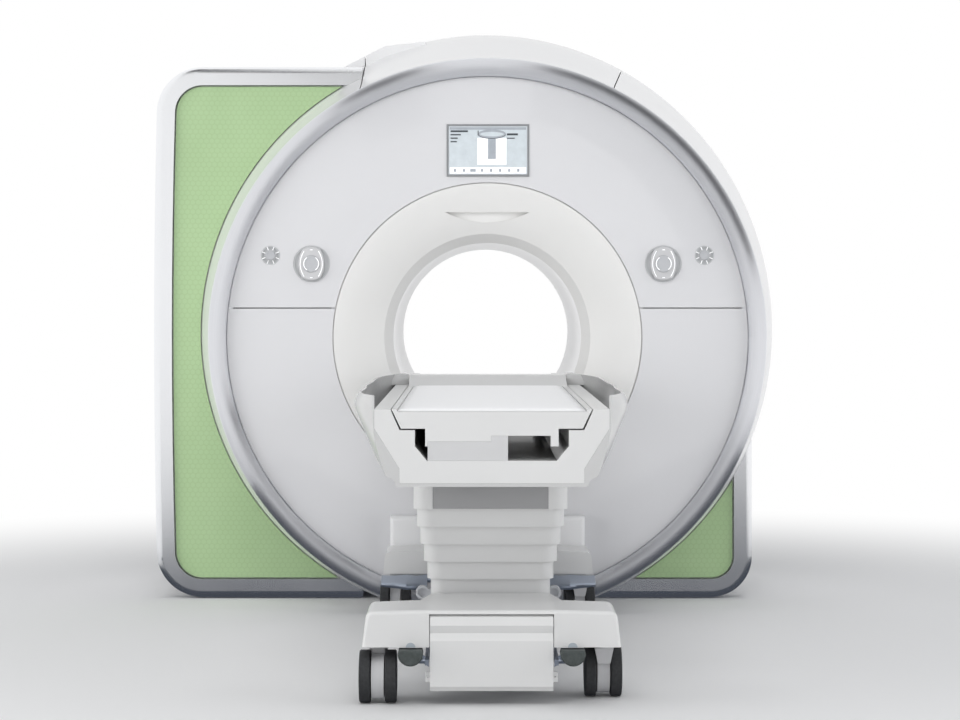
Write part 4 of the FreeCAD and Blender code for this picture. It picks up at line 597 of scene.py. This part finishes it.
# ---------------------------------------------------------------- inlays of the table
def column_plate():
    """Grey plate in the uppermost column cover's recess: a darker inner panel whose grey is partly its own
    and partly painted shade of a recess deeper than the solid's.
    """
    low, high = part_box("column_cover_1")
    outline = rect(0, (low[2] + high[2]) / 2, 2 * PLATE_HALF_X, high[2] - low[2] - 2 * PLATE_MARGIN)
    inlay("column_plate", [outline], low[1] + PLATE_SINK, "table_top_unit", "plate_grey")


def stop_faces():
    """Half-round coloured faces of the two stops on the base."""
    low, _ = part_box("front_base_cover")
    angles = [math.pi * k / STOP_STEPS for k in range(STOP_STEPS + 1)]
    faces = []
    for side, _ in SIDES:
        faces.append([(side * STOP_X + STOP_R * math.cos(a), STOP_Z + STOP_R * math.sin(a)) for a in angles])
    inlay("stop_faces", faces, low[1], "table_base", "stop_blue")


# ---------------------------------------------------------------- studio
def stage(name, mesh, material):
    """Adds a mesh that isn't part of the object."""
    thing = add_object(name, mesh)
    mesh.materials.append(material)


def level_sheet(name, left, right, near, far, z):
    """Mesh of one level rectangle."""
    mesh = bpy.data.meshes.new(name)
    mesh.from_pydata([(left, near, z), (right, near, z), (right, far, z), (left, far, z)], [], [(0, 1, 2, 3)])
    return mesh


def floor():
    """Pale floor that keeps the object's shadow and fades to white round it."""
    m = Finish("floor")
    m.set(Base_Color=(FLOOR_SHADE, FLOOR_SHADE, FLOOR_SHADE, 1), Roughness=0.8, Specular_IOR_Level=0.0)
    x, y, _ = m.axes()
    away = m.radius(x, m.calc("SUBTRACT", y, MIDDLE_Y))
    white = m.calc("MULTIPLY", m.soft_step(away, FADE_START, FADE_END), m.seen())
    glow = m.add("ShaderNodeEmission")
    glow.inputs["Color"].default_value = WHITE
    m.mix(white, m.shader.outputs["BSDF"], glow.outputs["Emission"], "Material Output")
    reach = FLOOR_REACH
    stage("floor", level_sheet("floor", -reach, reach, -reach, reach, 0), m.material)


def surroundings():
    """World that gives soft light, and is plain white where the camera sees it."""
    world = bpy.data.worlds.new("studio")
    bpy.context.scene.world = world
    world.use_nodes = True
    nodes = Tree(world.node_tree)
    soft = nodes.tree.nodes["Background"]
    soft.inputs["Color"].default_value = WORLD_COLOR
    soft.inputs["Strength"].default_value = WORLD_STRENGTH
    plain = nodes.add("ShaderNodeBackground")
    plain.inputs["Color"].default_value = WHITE
    plain.inputs["Strength"].default_value = 1.0
    nodes.mix(nodes.seen(), soft.outputs["Background"], plain.outputs["Background"], "World Output")


def painted_reflection_card(name, mesh, shade):
    """Dark card that only mirrored rays meet: a painted reflection that gives the bright metal its contrast
    with dark zones, and casts no shadow.
    """
    m = Finish(name)
    path = m.add("ShaderNodeLightPath")
    clear = m.add("ShaderNodeBsdfTransparent")
    dark = m.add("ShaderNodeEmission")
    dark.inputs["Color"].default_value = (*tint(CARD_TINT, shade), 1)
    # only glossy rays see the card, so it paints a dark reflection and nothing else
    mirrored = path.outputs["Is Glossy Ray"]
    m.mix(mirrored, clear.outputs["BSDF"], dark.outputs["Emission"], "Material Output")
    stage(name, mesh, m.material)


def hooped_card(name, start, end, shade):
    """Painted-reflection card bent as part of a hoop: a flat part before the object's front and a part along
    its side.
    """
    line = [(CARD_NEAR_R, CARD_FRONT_Y), (CARD_R, CARD_FRONT_Y), (CARD_R, CARD_BACK_Y)]
    points, faces = [], []
    for i in range(CARD_STEPS + 1):
        angle = math.radians(start + (end - start) * i / CARD_STEPS)
        points += [(r * math.cos(angle), y, BORE_Z + r * math.sin(angle)) for r, y in line]
    row = len(line)
    for i in range(CARD_STEPS):
        for k in range(row * i, row * i + row - 1):
            faces.append((k, k + 1, k + 1 + row, k + row))
    mesh = bpy.data.meshes.new(name)
    mesh.from_pydata(points, [], faces)
    painted_reflection_card(name, mesh, shade)


def cards():
    """Painted reflections: two hooped cards before the object, right and left of its top, and one on the
    floor, seen only in mirrored rays.
    """
    hooped_card("card_right", start=15, end=78, shade=0.02)
    hooped_card("card_left", start=104, end=122, shade=0.02)
    # the floor card paints a darker floor into the metal's reflections; the floor that the camera sees stays
    # as it is
    sheet = level_sheet("card_floor", left=-1.55, right=2.2, near=-6.5, far=0.6, z=CARD_LIFT)
    painted_reflection_card("card_floor", sheet, shade=0.06)


def lamp(name, place, aim, size, power, color=(1, 1, 1)):
    """Soft rectangular lamp that looks at a point and shows in no mirror."""
    data = bpy.data.lights.new(name, "AREA")
    data.shape = "RECTANGLE"
    data.size, data.size_y = size
    data.energy = power
    data.color = color
    thing = add_object(name, data)
    thing.location = place
    thing.rotation_euler = (Vector(aim) - Vector(place)).to_track_quat("-Z", "Y").to_euler()
    thing.visible_glossy = False


def lamps():
    """Soft light from the front and above, the sides and behind."""
    lamp("key", place=(-0.4, -7.5, 6.0), aim=(0, -0.7, 0.9), size=(5.0, 3.0), power=165.0)
    lamp("front", place=(-0.3, -10.0, 1.0), aim=(-0.3, -0.7, 0.7), size=(4.4, 1.8), power=95.0)
    lamp("left", place=(-6.0, -3.4, 1.9), aim=(0, -0.3, 0.8), size=(4.0, 3.4), power=150.0)
    cool = (0.97, 0.98, 1.0)
    lamp("right", place=(6.0, -3.4, 1.9), aim=(0, -0.3, 0.8), size=(4.0, 3.4), power=120.0, color=cool)
    lamp("top", place=(0, -1.4, 6.5), aim=(0, -1.2, 1), size=(6.0, 4.0), power=62.0)
    lamp("back", place=(0.5, 7.5, 4.0), aim=(0, 0.3, 1.0), size=(6.0, 4.0), power=130.0)


def camera():
    """Level camera at the photograph's place, with its picture shifted."""
    data = bpy.data.cameras.new("camera")
    data.lens = CAMERA_LENS
    data.sensor_width = CAMERA_SENSOR
    data.shift_x, data.shift_y = CAMERA_SHIFT
    thing = add_object("camera", data)
    thing.location = CAMERA_PLACE
    thing.rotation_euler = (math.radians(90), 0, 0)
    bpy.context.scene.camera = thing


# ---------------------------------------------------------------- the scene
dress_solids()
pad()
display_picture()
for side, name in SIDES:
    push_lights(side, name)
    dial_lines(side, name)
    call_lights(side, name)
column_plate()
stop_faces()
floor()
surroundings()
camera()
cards()
lamps()
bpy.context.scene.view_settings.view_transform = "Standard"
